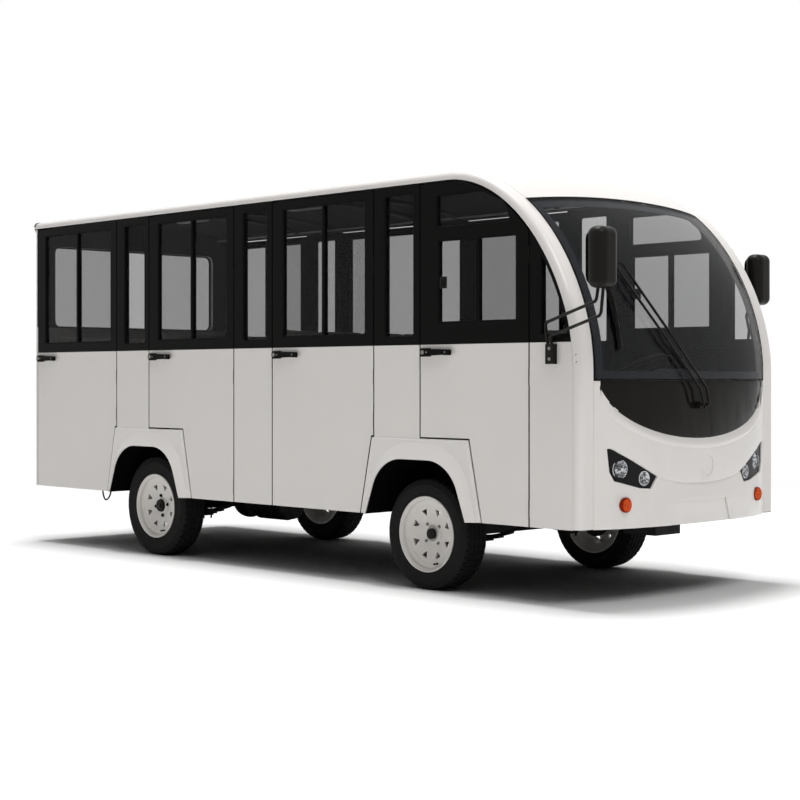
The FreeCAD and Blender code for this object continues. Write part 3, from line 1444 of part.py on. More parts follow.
# ---------------------------------------------------------------- mirrors
def tube(points, bend, radius):
    """Round bar through points, its bends rounded to one radius."""
    edges = []
    start = points[0]
    for before, corner, after in zip(points, points[1:], points[2:]):
        back = (before - corner).normalize()
        ahead = (after - corner).normalize()
        half = back.getAngle(ahead) / 2
        reach = bend / math.tan(half)
        first = corner + back * reach
        last = corner + ahead * reach
        middle = corner + (back + ahead).normalize() * (bend / math.sin(half) - bend)
        edges.append(Part.makeLine(start, first))
        edges.append(Part.Arc(first, middle, last).toShape())
        start = last
    edges.append(Part.makeLine(start, points[-1]))
    path = Part.Wire(edges)
    section = Part.Wire([Part.makeCircle(radius, points[0], points[1] - points[0])])
    return path.makePipeShell([section], True, False)


def mirror_head(centre):
    """Pill-shaped housing round its middle."""
    extent = Vector(size("mirror_deep"), size("mirror_wide"), size("mirror_tall"))
    head = Part.makeBox(extent.x, extent.y, extent.z, centre - extent * 0.5)
    upright = [edge for edge in head.Edges if edge.BoundBox.ZLength > extent.z / 2]
    head = head.makeFillet(size("mirror_round"), upright)
    rims = [edge for edge in head.Edges if edge.BoundBox.ZLength < 1]
    return head.makeFillet(size("mirror_rim"), rims)


ARM_ROUTES = ((-12, 0), (12, -60))  # each arm's shift along X at its foot and its height at the bends


def mirror_shape(side, head, elbow_x):
    """Bracket on the panel below the belt, two bent arms and the head, on one side (-1 right, 1 left)."""
    foot_x = size("nose_x - mirror_foot")
    face = side * size(SIDE)
    proud = size("bracket_proud")
    foot_z = size("belt_z - bracket_drop")
    bracket = Part.makeBox(2 * size("bracket_half"), proud, size("bracket_tall"),
                           Vector(foot_x - size("bracket_half"), min(face, face + side * proud), foot_z))
    arms = []
    for shift, rise in ARM_ROUTES:
        x = foot_x + shift
        y = face + side * (proud - size("mirror_arm_r") - 1)
        arms.append(tube([
            Vector(x, y, foot_z + 0.8 * size("bracket_tall")),
            Vector(x, y + side * 20, size("belt_z") + 84 + rise),
            Vector(elbow_x + shift, head.y, size("mirror_z") - 180 + rise),
            Vector(head.x + shift, head.y, head.z - size("mirror_tall") / 4),
        ], 25, size("mirror_arm_r")))
    return bracket.fuse(arms + [mirror_head(head)])


MIRROR_OUT = size(f"{SIDE} + mirror_reach")
right_head = Vector(size("nose_x + mirror_ahead"), -MIRROR_OUT, size("mirror_z"))
left_head = Vector(size("nose_x - mirror_behind"), MIRROR_OUT, size("mirror_z"))
nodes["mirror_right"] = feature("mirror_right", mirror_shape(-1, right_head, right_head.x - 20))
nodes["mirror_left"] = feature("mirror_left", mirror_shape(1, left_head, left_head.x - 60))


# ---------------------------------------------------------------- lamps
def turn_lamp(side):
    """Round lens on the nose, its back seated on the panel's face."""
    proud = size("turn_lamp_proud")
    radius = size("turn_lamp_r")
    face = on_nose(side * TURN_LAMP_SHARE * size(HOOP_Y), size("turn_lamp_z"))
    start = face - Vector(2 * radius, 0, 0)
    lens = Part.makeCylinder(radius, 2 * radius + proud, start, Vector(1, 0, 0))
    front_rim = [edge for edge in lens.Edges if edge.BoundBox.XMin > face.x]
    return lens.makeFillet(proud / 2, front_rim).cut(nose_form)


def tail_lamp(side):
    """Upright lamp stack on a rear corner."""
    proud = size("tail_lamp_proud")
    wide = size("tail_lamp_wide")
    middle = side * size(f"{SIDE} - tail_lamp_inset")
    corner = Vector(size(REAR) - proud, middle - wide / 2, size("tail_lamp_z"))
    lamp = Part.makeBox(proud, wide, size("tail_lamp_tall"), corner)
    outer_edges = [edge for edge in lamp.Edges if edge.BoundBox.XMax < size(REAR) - proud / 2]
    return lamp.makeFillet(0.6 * proud, outer_edges)


nodes["turn_lamps"] = feature("turn_lamps", Part.makeCompound([turn_lamp(-1), turn_lamp(1)]))
nodes["tail_lamps"] = feature("tail_lamps", Part.makeCompound([tail_lamp(-1), tail_lamp(1)]))

# ---------------------------------------------------------------- wiper
BLADE_Y = -0.36 * size("body_width")
ARM_LINE = ((0.04, 0.06), (0.43, 0.4), (0.68, 0.72), (0.78, 0.94))  # shares of the way to the blade
SPINDLE_Y = (0, -40)


def wiper_arm(spindle_y, shift):
    """Arm from its spindle on the fascia up to the blade, clear of the glass."""
    foot_z = size("wiper_foot_z")
    rise = size("blade_high_z") - foot_z
    lift = size("wiper_lift")
    line = [on_nose(across * BLADE_Y - shift, foot_z + (0.06 + up) * rise / 1.06, lift)
            for across, up in ARM_LINE]
    tip = on_nose(BLADE_Y, line[-1].z + 20 - shift, 12)
    return tube([on_nose(spindle_y, foot_z, -4), on_nose(spindle_y, foot_z, lift)] + line + [tip], 18,
                size("wiper_arm_r"))


arms = [wiper_arm(SPINDLE_Y[0], 0), wiper_arm(SPINDLE_Y[1], size("wiper_arm_gap"))]
blade_steps = 4
blade_rise = size("blade_high_z - blade_low_z") / blade_steps
blade_line = [on_nose(BLADE_Y, size("blade_low_z") + step * blade_rise, 13)
              for step in range(blade_steps + 1)]
blade = tube(blade_line, 150, size("blade_r"))
spindles = [Part.makeCylinder(16, 40, on_nose(y, size("wiper_foot_z"), -20), Vector(1, 0, 0))
            for y in SPINDLE_Y]
nodes["wiper"] = feature("wiper", blade.fuse(arms + spindles).cut(
    [body_form(size("fascia_setback")), nodes["windscreen"].Shape]))
doc.recompute()

# ---------------------------------------------------------------- check and write
problems = []
for item in doc.Objects:
    if "Invalid" in item.State or "Error" in item.State:
        problems.append(f"{item.Label}: {item.State}")
for label, item in nodes.items():
    if item.Shape.isNull() or not item.Shape.isValid():
        problems.append(f"{label}: bad shape")
if problems:
    raise RuntimeError("; ".join(problems))
os.makedirs("parts", exist_ok=True)
for label, item in nodes.items():
    item.Shape.exportStep(f"parts/{label}.step")
    bound_box = item.Shape.BoundBox
    print(f"{label}: {len(item.Shape.Solids)} solids, volume {item.Shape.Volume / 1e6:.2f} l, "
          f"x {bound_box.XMin:.0f}..{bound_box.XMax:.0f}, y {bound_box.YMin:.0f}..{bound_box.YMax:.0f}, "
          f"z {bound_box.ZMin:.0f}..{bound_box.ZMax:.0f}")
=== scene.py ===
# %% [markdown]
# # Enclosed electric sightseeing bus
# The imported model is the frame: every panel, wheel and seat already stands at its real place, in metres,
# with +X forward, +Y to the left and +Z up.  The cells below give each piece its finish and add what a
# coachbuilder would fit afterwards.

# %% Load the frame
import json
import math

import bmesh
import bpy
from mathutils import Matrix, Vector
from mathutils.bvhtree import BVHTree


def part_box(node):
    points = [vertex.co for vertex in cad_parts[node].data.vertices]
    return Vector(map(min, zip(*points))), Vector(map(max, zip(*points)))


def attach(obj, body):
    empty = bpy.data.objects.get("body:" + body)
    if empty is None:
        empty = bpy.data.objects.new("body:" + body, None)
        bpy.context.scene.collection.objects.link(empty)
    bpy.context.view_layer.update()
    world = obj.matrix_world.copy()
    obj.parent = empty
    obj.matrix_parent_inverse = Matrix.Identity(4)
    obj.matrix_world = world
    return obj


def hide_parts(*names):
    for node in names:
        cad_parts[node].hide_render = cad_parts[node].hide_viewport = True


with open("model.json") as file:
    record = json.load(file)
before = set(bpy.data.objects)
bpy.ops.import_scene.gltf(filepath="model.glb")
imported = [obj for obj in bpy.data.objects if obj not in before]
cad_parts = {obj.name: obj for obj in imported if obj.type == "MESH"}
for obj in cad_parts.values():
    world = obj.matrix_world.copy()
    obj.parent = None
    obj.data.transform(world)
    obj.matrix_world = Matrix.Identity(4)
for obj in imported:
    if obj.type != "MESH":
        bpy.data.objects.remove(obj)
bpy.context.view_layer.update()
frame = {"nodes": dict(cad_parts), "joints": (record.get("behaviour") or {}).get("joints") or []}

NODES = frame["nodes"]
SCENE = bpy.context.scene

# %% [markdown]
# Fitted parts are small, so they are drawn in millimetres and scaled once, when a piece is finished.  Their
# places come from the frame: the corners of a carried-over node, or the point that a joint turns about.
# A few driving sizes of the body follow from those.

# %% Places in millimetres
MM = 0.001


def box(node):
    """The lowest and the highest corner of a carried-over node."""
    return [Vector([round(value / MM, 2) for value in corner]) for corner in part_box(node)]


def pivot(name):
    """The point that a joint turns about."""
    joint = next(joint for joint in frame["joints"] if joint["name"] == name)
    return Vector([round(value / MM, 2) for value in joint["pos_m"]])


SIDE_Y = box("hoops")[1].y
REAR_X = box("rear_wall")[0].x
SCREEN_HALF = box("front_panel")[1].y
SCREEN_BASE = box("windscreen")[0].z
SCREEN_TOP = box("roof")[0].z
SCREEN_CREST = box("windscreen")[1].z - SCREEN_TOP
print("side", SIDE_Y, "rear", REAR_X, "windscreen", SCREEN_HALF, SCREEN_BASE, SCREEN_TOP, SCREEN_CREST)

# %% [markdown]
# The camera stands a little over six metres off the front right corner, level, at one metre height.  A long
# lens of about 74 mm keeps the side's lines calm.  A small downward shift brings the wheels into the frame
# without tilting the camera, so that the uprights stay upright.

# %% Camera
LENS = 73.73
CAMERA_PLACE = Vector((6.540, -6.250, 1.0063))
CAMERA_LOOK = Vector((-0.7144, 0.6997, 0.0))
CAMERA_SHIFT = -0.0267

camera_data = bpy.data.cameras.new("camera")
camera_data.lens = LENS
camera_data.shift_y = CAMERA_SHIFT
camera = bpy.data.objects.new("camera", camera_data)
camera.location = CAMERA_PLACE
camera.rotation_euler = CAMERA_LOOK.to_track_quat("-Z", "Y").to_euler()
SCENE.collection.objects.link(camera)
SCENE.camera = camera
SCENE.view_settings.view_transform = "Standard"
print("camera", tuple(round(value, 3) for value in camera.location))

# %% [markdown]
# Materials are small node trees.  One function turns a written colour into the linear numbers that the
# renderer wants, and one adds a node with its settings and its links.  Everything else is said where the
# finish is made, so that each tree can be read from its inputs to its output.

# %% Colours and nodes


def linear(code):
    """The linear colour of an sRGB hex code such as E9E7E4."""
    channels = [int(code[i:i + 2], 16) / 255 for i in (0, 2, 4)]
    return tuple(c / 12.92 if c <= 0.04045 else ((c + 0.055) / 1.055) ** 2.4 for c in channels) + (1.0,)


def add_node(tree, kind, settings=None, **inputs):
    """Adds a shader node.  settings go to its properties.  inputs, by socket name or number, are values or
    what to link: another node's socket, or the node itself for its first output."""
    node = tree.nodes.new(kind)
    for name, value in (settings or {}).items():
        setattr(node, name, value)
    for name, value in inputs.items():
        key = int(name[1:]) if name[0] == "i" and name[1:].isdigit() else name.replace("_", " ")
        if isinstance(value, bpy.types.Node):
            tree.links.new(value.outputs[0], node.inputs[key])
        elif isinstance(value, bpy.types.NodeSocket):
            tree.links.new(value, node.inputs[key])
        else:
            node.inputs[key].default_value = value
    return node


print("white in linear light", linear("FFFFFF")[:3])

# %% [markdown]
# A real surface is never one flat value.  Each finish gets grain as a bump, a roughness that drifts over
# patches of some seventy millimetres, and a second shade.  Over the patches that shade is wear and gathered
# dust.  A moulded pebble grain has cells, and there the second shade grows from each cell's middle to its
# edge; on the lamp lenses that is painted shade round a painted highlight.  Paint and castings have soft
# lumps.

# %% Finish helpers
COLOUR = {"data_type": "RGBA"}
LESS, MORE = {"operation": "LESS_THAN"}, {"operation": "GREATER_THAN"}
LARGEST, TIMES = {"operation": "MAXIMUM"}, {"operation": "MULTIPLY"}
PATCH = 70
SMOOTHEST = 0.02


def new_material(name, code, roughness, metallic=0.0, **shader_values):
    """A Principled material with plain values; returns (material, tree, shader)."""
    material = bpy.data.materials.new(name)
    material.use_nodes = True
    tree = material.node_tree
    shader = tree.nodes["Principled BSDF"]
    shader.inputs["Base Color"].default_value = linear(code)
    shader.inputs["Roughness"].default_value = roughness
    shader.inputs["Metallic"].default_value = metallic
    for socket, value in shader_values.items():
        shader.inputs[socket.replace("_", " ")].default_value = value
    return material, tree, shader


def finished(name, code, roughness, grain, relief, drift, wear_and_painted_shade=None, cells=False, **shader_values):
    """A moulded, painted or cast finish.  grain and relief are the lumps' width and height in millimetres,
    drift is how far the roughness wanders, and the last colour is a second shade: wear and dust over patches,
    and with cells a shade towards each cell's edge, which on lamp lenses is painted shade."""
    material, tree, shader = new_material(name, code, roughness, **shader_values)
    place = add_node(tree, "ShaderNodeTexCoord").outputs["Object"]
    kind = "ShaderNodeTexVoronoi" if cells else "ShaderNodeTexNoise"
    lumps = add_node(tree, kind, Vector=place, Scale=1 / (grain * MM))
    bump = add_node(tree, "ShaderNodeBump", Strength=1.0, Distance=relief * MM, Height=lumps)
    patches = add_node(tree, "ShaderNodeTexNoise", Vector=place, Scale=1 / (PATCH * MM), Detail=5.0)
    spread = add_node(tree, "ShaderNodeMapRange", Value=patches, i1=0.3, i2=0.7,
                      i3=max(roughness - drift, SMOOTHEST), i4=min(roughness + drift, 1.0))
    # Without cells the second shade follows the patches, as wear and dust; with cells it lies towards each
    # cell's edge, which on the lamp lenses is painted shade.
    tone = add_node(tree, "ShaderNodeMix", COLOUR, i0=lumps if cells else patches, i6=linear(code),
                    i7=linear(wear_and_painted_shade or code))
    tree.links.new(bump.outputs[0], shader.inputs["Normal"])
    tree.links.new(spread.outputs[0], shader.inputs["Roughness"])
    tree.links.new(tone.outputs[2], shader.inputs["Base Color"])
    return material


print("patches of", PATCH, "mm")

# %% [markdown]
# The body is glass fibre panel in white gelcoat under clear lacquer: glossy, with a faint long ripple instead
# of a perfect mirror.  The upper body is sprayed gloss black round the windows, what stands proud of a side
# is black moulded nylon, and what faces the cabin is a trim cloth.  They belong to the same panels, so one
# material changes by place.  Separate objects would leave seams where the real panel has none.  On the wheel
# flares the dark trim colour also covers the arch returns: painted shade inside the wheel arches.

# %% Body panel finishes
WHITE = "E4E0DC"
WHITE_SHADE = "E0DDDA"
BAND_BLACK = "0C0C0B"
# Dark trim: the cabin lining, and painted shade on the flares' arch returns.
DARK_TRIM_AND_ARCH_SHADE = "161618"
TRIM_PALE = "E2DFDB"
BELT_Z = 1166
TRIM_Z = 1325
RIPPLE = 110
RIPPLE_RELIEF = 0.1
GELCOAT_ROUGH, SPRAYED_ROUGH, NYLON_ROUGH, CLOTH_ROUGH = 0.3, 0.26, 0.42, 0.85
LACQUER, BAND_LACQUER = 0.5, 0.03
SKIN_DEPTH, ARCH_SHADE_DEPTH, PROUD = 1.2, 20, 0.4
TURNED_IN = 0.05


def body_panel(name, two_tone, inner_face, skin_depth=SKIN_DEPTH):
    """Gelcoat outside, trim inside.  inner_face is side, under, nose or tail and says how it is found."""
    material, tree, shader = new_material(name, WHITE, GELCOAT_ROUGH, Coat_Roughness=0.07, Coat_IOR=1.5,
                                          Specular_IOR_Level=0.03 if two_tone else 0.3)
    place = add_node(tree, "ShaderNodeTexCoord").outputs["Object"]
    axes = add_node(tree, "ShaderNodeSeparateXYZ", i0=place).outputs
    ripple = add_node(tree, "ShaderNodeTexNoise", Vector=place, Scale=1 / (RIPPLE * MM), Detail=2.0)
    bump = add_node(tree, "ShaderNodeBump", Strength=1.0, Distance=RIPPLE_RELIEF * MM, Height=ripple)
    width = add_node(tree, "ShaderNodeMath", {"operation": "ABSOLUTE"}, i0=axes[1])
    if inner_face == "side":
        # On the flares this also finds the arch returns, which get the dark trim colour as painted shade.
        inner = add_node(tree, "ShaderNodeMath", LESS, i0=width, i1=(SIDE_Y - skin_depth) * MM)
    else:
        normal = add_node(tree, "ShaderNodeNewGeometry").outputs["True Normal"]
        way = add_node(tree, "ShaderNodeSeparateXYZ", i0=normal).outputs[2 if inner_face == "under" else 0]
        tail = inner_face == "tail"
        inner = add_node(tree, "ShaderNodeMath", MORE if tail else LESS,
                         i0=way, i1=TURNED_IN if tail else -TURNED_IN)
    low = add_node(tree, "ShaderNodeMath", LESS, i0=axes[2], i1=TRIM_Z * MM)
    trim = add_node(tree, "ShaderNodeMix", COLOUR, i0=low, i6=linear(DARK_TRIM_AND_ARCH_SHADE),
                    i7=linear(TRIM_PALE if inner_face == "tail" else DARK_TRIM_AND_ARCH_SHADE)).outputs[2]
    white = add_node(tree, "ShaderNodeMix", COLOUR, i0=ripple, i6=linear(WHITE), i7=linear(WHITE_SHADE))
    white = white.outputs[2]
    paint, gloss, lacquer = white, GELCOAT_ROUGH, LACQUER
    if two_tone:
        above = add_node(tree, "ShaderNodeMath", MORE, i0=axes[2], i1=BELT_Z * MM)
        proud = add_node(tree, "ShaderNodeMath", MORE, i0=width, i1=(SIDE_Y + PROUD) * MM)
        dark = add_node(tree, "ShaderNodeMath", LARGEST, i0=above, i1=proud)
        paint = add_node(tree, "ShaderNodeMix", COLOUR, i0=dark, i6=white, i7=linear(BAND_BLACK)).outputs[2]
        gloss = add_node(tree, "ShaderNodeMix", i0=proud, i2=SPRAYED_ROUGH, i3=NYLON_ROUGH)
        lacquer = add_node(tree, "ShaderNodeMix", i0=dark, i2=LACQUER, i3=BAND_LACQUER)
    lined_paint = add_node(tree, "ShaderNodeMix", COLOUR, i0=inner, i6=paint, i7=trim)
    lined_gloss = add_node(tree, "ShaderNodeMix", i0=inner, i2=gloss, i3=CLOTH_ROUGH)
    lined_coat = add_node(tree, "ShaderNodeMix", i0=inner, i2=lacquer, i3=0.0)
    tree.links.new(bump.outputs[0], shader.inputs["Normal"])
    tree.links.new(lined_paint.outputs[2], shader.inputs["Base Color"])
    tree.links.new(lined_gloss.outputs[0], shader.inputs["Roughness"])
    tree.links.new(lined_coat.outputs[0], shader.inputs["Coat Weight"])
    return material


side_gelcoat = body_panel("gelcoat_two_tone", True, "side")
# The flares' arch returns, deeper than twenty millimetres inside the side, take the dark trim colour: painted
# shade inside the wheel arches.
flare_gelcoat = body_panel("gelcoat_flares", False, "side", ARCH_SHADE_DEPTH)
roof_gelcoat = body_panel("gelcoat_roof", False, "under")
nose_gelcoat = body_panel("gelcoat_nose", False, "nose")
tail_gelcoat = body_panel("gelcoat_tail", False, "tail")
print("panel finishes", 5)

# %% [markdown]
# The windows are thin grey safety glass.  At this size a pane does not bend what is behind it, so it is made
# as a see-through sheet: dark, smooth, with the usual IOR of 1.52, and an opacity that sets how deep the grey
# tint is.  Light that falls through it is dimmed in the same way, which keeps the cabin in soft shade.

# %% Glass


def safety_glass(name, code, opacity, **shader_values):
    """A thin sheet: the more opaque, the deeper its tint."""
    return new_material(name, code, SMOOTHEST, IOR=1.52, Alpha=opacity, **shader_values)[0]


fixed_glass = safety_glass("glass_grey_fixed", "0C0D0E", 0.24, Specular_IOR_Level=0.15)
door_glass = safety_glass("glass_grey_sliding", "0C0D0E", 0.36, Specular_IOR_Level=0.15)
screen_glass = safety_glass("glass_windscreen", "14171B", 0.2, Specular_IOR_Level=0.5)
clear_lens = new_material("polycarbonate_lens", "8A8E92", 0.03, IOR=1.58, Alpha=0.08)[0]
print("glass", fixed_glass.name, door_glass.name, screen_glass.name, clear_lens.name)

# %% [markdown]
# Black parts differ in how they were made.  The fascia is sprayed gloss and mirrors softly, the chassis is
# satin paint, ABS and nylon have a fine leather grain, the arch liners are dull polyethylene, and rubber
# scatters nearly everything.  Grain too fine to show at this distance is drawn two or three times as coarse.
# Their mirror strength is low, because all that they could mirror here is a white room.

# %% Dark finishes
gloss_fascia = finished("fascia_gloss_paint", "171513", 0.12, grain=14, relief=0.02, drift=0.03,
                        wear_and_painted_shade="1B1917", Specular_IOR_Level=0.08)
chassis_paint = finished("chassis_satin_paint", "0E0E0F", 0.5, grain=3, relief=0.08, drift=0.1, wear_and_painted_shade="171615",
                         Specular_IOR_Level=0.08)
liner_plastic = finished("arch_liner_polyethylene", "060606", 0.8, grain=5, relief=0.2, drift=0.08,
                         Specular_IOR_Level=0.04)
moulded_abs = finished("moulded_abs", "12110F", 0.34, grain=3, relief=0.02, drift=0.06, wear_and_painted_shade="1A1815",
                       Specular_IOR_Level=0.1)
dash_abs = finished("dashboard_abs", "1B1B1D", 0.55, grain=3, relief=0.04, drift=0.06, wear_and_painted_shade="222224",
                    Specular_IOR_Level=0.12)
tyre_rubber = finished("tyre_rubber", "1C1C1C", 0.75, grain=6, relief=0.05, drift=0.1, wear_and_painted_shade="242423",
                       Specular_IOR_Level=0.06)
seal_rubber = finished("epdm_seal", "0A0A0A", 0.6, grain=3, relief=0.02, drift=0.08, Specular_IOR_Level=0.06)
# The frit is black ceramic; its blue-grey colour here is a painted reflection of the sky.
frit_painted_sky_reflection = finished("frit_painted_sky_reflection", "2A2E35", 0.5, grain=4, relief=0.01, drift=0.08, wear_and_painted_shade="23262C",
                        Specular_IOR_Level=0.1)
lamp_housing = finished("lamp_housing_black", "161617", 0.25, grain=8, relief=0.03, drift=0.05,
                        Specular_IOR_Level=0.1)
deck_rubber = finished("deck_studded_rubber", "2C2C2E", 0.75, grain=26, relief=0.9, drift=0.08, wear_and_painted_shade="363534",
                       cells=True)
print("dark finishes", 10)

# %% [markdown]
# The wheels are pressed steel in off-white enamel, which gathers a little grey dust.  The motor is a painted
# casting.  Seat vinyl has a pebbled leather grain.  Bright parts are chrome plate or zinc.  Lamp lenses are
# coloured acrylic with moulded facets, deep enough in colour to stay orange and red under the key lamp; each
# facet is painted bright in its middle and dark at its edges, a painted highlight and shade.

# %% Bright and coloured finishes
wheel_enamel = finished("wheel_enamel", "DAD7D3", 0.34, grain=8, relief=0.01, drift=0.08, wear_and_painted_shade="CCC8C2",
                        Coat_Weight=0.2)
motor_casting = finished("motor_casting", "1C1D1F", 0.55, grain=3, relief=0.25, drift=0.1, wear_and_painted_shade="262523",
                         Specular_IOR_Level=0.1)
battery_case = finished("battery_case_steel", "1A1B1D", 0.5, grain=3, relief=0.06, drift=0.1, wear_and_painted_shade="222226",
                        Specular_IOR_Level=0.1)
seat_vinyl = finished("seat_vinyl", "D9D5CF", 0.5, grain=5, relief=0.1, drift=0.08, wear_and_painted_shade="CBC6BF", cells=True,
                      Sheen_Weight=0.1)
chrome = finished("chrome_plate", "C8CACD", 0.08, grain=6, relief=0.005, drift=0.03, metallic=1.0)
zinc_plate = finished("zinc_plate", "8F8F8A", 0.36, grain=2, relief=0.02, drift=0.1, wear_and_painted_shade="77756F",
                      metallic=1.0)
# The amber lens facets are painted bright in their middles and dark at their edges: painted highlight and
# shade.
amber_acrylic_painted_shading = finished("amber_acrylic_painted_shading", "F4641A", 0.2, grain=11, relief=0.5, drift=0.05, wear_and_painted_shade="A32603",
                         cells=True, Specular_IOR_Level=0.08)
amber_shade = finished("amber_rim_acrylic", "7A1D04", 0.3, grain=5, relief=0.02, drift=0.05, wear_and_painted_shade="A32C06",
                       Specular_IOR_Level=0.05)
# The red lens facets likewise carry a painted highlight in their middles and painted shade at their edges.
red_acrylic_painted_shading = finished("red_acrylic_painted_shading", "B41212", 0.2, grain=8, relief=0.3, drift=0.05, wear_and_painted_shade="6E0606",
                       cells=True, Specular_IOR_Level=0.08)
opal_plastic = finished("opal_polycarbonate", "C9C9C6", 0.45, grain=3, relief=0.02, drift=0.08, wear_and_painted_shade="BEBEBA")
print("bright finishes", 10)

# %% [markdown]
# A lamp's reflector is plastic with a vapour of aluminium on it, pressed in small facets.  Each facet looks
# at another part of the room, so some are nearly black and some nearly white.  The room here is white all
# round, so those reflections are painted into the facets' colour, dark or bright cell by cell.

# %% Reflector facets with painted reflections
FACET = 9
FACET_RELIEF = 0.4


def chrome_with_painted_reflections():
    """Chrome whose facets carry painted reflections, dark or bright."""
    material, tree, shader = new_material("reflector_painted_reflections", "9A9CA0", 0.12, 1.0)
    place = add_node(tree, "ShaderNodeTexCoord").outputs["Object"]
    facets = add_node(tree, "ShaderNodeTexVoronoi", Vector=place, Scale=1 / (FACET * MM)).outputs
    level = add_node(tree, "ShaderNodeSeparateColor", i0=facets["Color"])
    spread = add_node(tree, "ShaderNodeMapRange", Value=level, i1=0.35, i2=0.85, i3=0.0, i4=1.0)
    # Painted reflections: each facet cell is coloured between a dark and a bright reflection.
    shade = add_node(tree, "ShaderNodeMix", COLOUR, i0=spread, i6=linear("2E2F33"), i7=linear("F2F3F6"))
    bump = add_node(tree, "ShaderNodeBump", Strength=1.0, Distance=FACET_RELIEF * MM, Height=facets[0])
    tree.links.new(shade.outputs[2], shader.inputs["Base Color"])
    tree.links.new(bump.outputs[0], shader.inputs["Normal"])
    return material


reflector_painted_reflections = chrome_with_painted_reflections()
print("facets of", FACET, "mm")

# %% [markdown]
# Each carried-over piece now gets its finish, by the start of its name.  The right and left doors, panes,
# knuckles and wheels are named alike, so one entry serves them all.

# %% Finish of each carried-over piece
FINISH = {
    "roof": roof_gelcoat, "hoops": roof_gelcoat, "front_panel": nose_gelcoat, "front_fascia": gloss_fascia,
    "windscreen": screen_glass, "rear_wall": tail_gelcoat, "side_panels": side_gelcoat,
    "fixed_windows": fixed_glass, "wheel_flares": flare_gelcoat, "floor_deck": deck_rubber,
    "tow_block": chassis_paint, "wheel_boxes": liner_plastic, "chassis_frame": chassis_paint,
    "front_axle": chassis_paint, "rear_axle": chassis_paint, "drive_motor": motor_casting,
    "battery_pack": battery_case, "knuckle_": chassis_paint, "tyre_": tyre_rubber, "rim_": wheel_enamel,
    "door_": side_gelcoat, "glass_": door_glass, "seat_cushions": seat_vinyl, "seat_frames": chassis_paint,
    "dashboard": dash_abs, "steering_wheel": moulded_abs, "mirror_": moulded_abs, "headlamps": lamp_housing,
    "turn_lamps": amber_shade, "tail_lamps": red_acrylic_painted_shading, "wiper": moulded_abs,
}
for node_name, node_object in NODES.items():
    node_object.data.materials.clear()
    finish = next(material for key, material in FINISH.items() if node_name.startswith(key))
    node_object.data.materials.append(finish)
print(len(NODES), "pieces finished")

# %% [markdown]
# Sheet and moulded panels never end in a knife edge.  A small rounded edge is what catches the light along
# each door seam, so the panels get a bevel modifier.  First the many flat triangles are merged, so that the
# bevel sees only the real edges.

# %% Rounded panel edges
EDGE_ROUND = 2.5
WELD = 0.01
FLAT_ANGLE = 0.01
EDGE_ANGLE = 0.6
ROUNDED = ("door_", "side_panels", "hoops", "front_panel", "front_fascia", "rear_wall", "wheel_flares",
           "dashboard", "tow_block", "tail_lamps")
for node_name, node_object in NODES.items():
    if node_name.startswith(ROUNDED):
        weld = node_object.modifiers.new("weld", "WELD")
        weld.merge_threshold = WELD * MM
        merge = node_object.modifiers.new("merge_flats", "DECIMATE")
        merge.decimate_type = "DISSOLVE"
        merge.angle_limit = FLAT_ANGLE
        edge = node_object.modifiers.new("rounded_edge", "BEVEL")
        edge.width = EDGE_ROUND * MM
        edge.segments = 3
        edge.limit_method = "ANGLE"
        edge.angle_limit = EDGE_ANGLE
        edge.harden_normals = True
print("edges rounded on", sum(name.startswith(ROUNDED) for name in NODES), "nodes")

# %% [markdown]
# Nearly every fitted part is a stack of rings: a turned part is a stack of circles, a seal is a section
# carried round an outline, a plate is an outline that steps in at its edge.  One function joins the rings,
# and the others only lay them out.  A stack of rings keeps every face a clean quad, where cutting solids
# with each other would leave slivers.

# %% Joining rings
TIP = 0.5     # a turned part ends in a flat of this radius


def skin(build, rings, closed=False):
    """Joins rings of points with quads.  closed joins the last ring to the first; else both are filled."""
    rows = [[build.verts.new(point) for point in ring] for ring in rings]
    around = len(rows[0])
    if not closed:
        build.faces.new(rows[0][::-1])
        build.faces.new(rows[-1])
    for first, second in zip(rows, rows[1:] + rows[:1] if closed else rows[1:]):
        for i in range(around):
            build.faces.new((first[i], first[(i + 1) % around], second[(i + 1) % around], second[i]))


def turned(build, profile, place, steps=40, wave=None, closed=False):
    """Turns (radius, height) pairs round the z axis of place.  wave(turn) scales the radius."""
    turns = [i * math.tau / steps for i in range(steps)]
    skin(build, [[place @ Vector((math.cos(t) * radius * (wave(t) if wave else 1),
                                  math.sin(t) * radius * (wave(t) if wave else 1), height)) for t in turns]
                 for radius, height in profile], closed)


print("ring helpers ready")

# %% [markdown]
# An outline is a list of corners, each with the radius that rounds it, as a draughtsman would give it.
# A moulding moves that outline in or out for each point of its section.

# %% Outlines and mouldings
CORNER_STEPS = 5
STEEPEST_MITRE = 0.4


def soften(corners):
    """Anticlockwise outline through (x, y, radius) corners, each rounded to its radius."""
    outline = []
    for before, (x, y, radius), after in zip(corners[-1:] + corners[:-1], corners, corners[1:] + corners[:1]):
        point = Vector((x, y))
        back = (Vector(before[:2]) - point).normalized()
        ahead = (Vector(after[:2]) - point).normalized()
        half = back.angle(ahead) / 2
        centre = point + (back + ahead).normalized() * (radius / math.sin(half))
        first = point + back * (radius / math.tan(half)) - centre
        outline += [centre + Matrix.Rotation((math.pi - 2 * half) * step / CORNER_STEPS, 2) @ first
                    for step in range(CORNER_STEPS + 1)]
    return outline


def oblong(left, right, low, high, radius):
    """Anticlockwise rectangle with rounded corners."""
    return soften([(left, low, radius), (right, low, radius), (right, high, radius), (left, high, radius)])


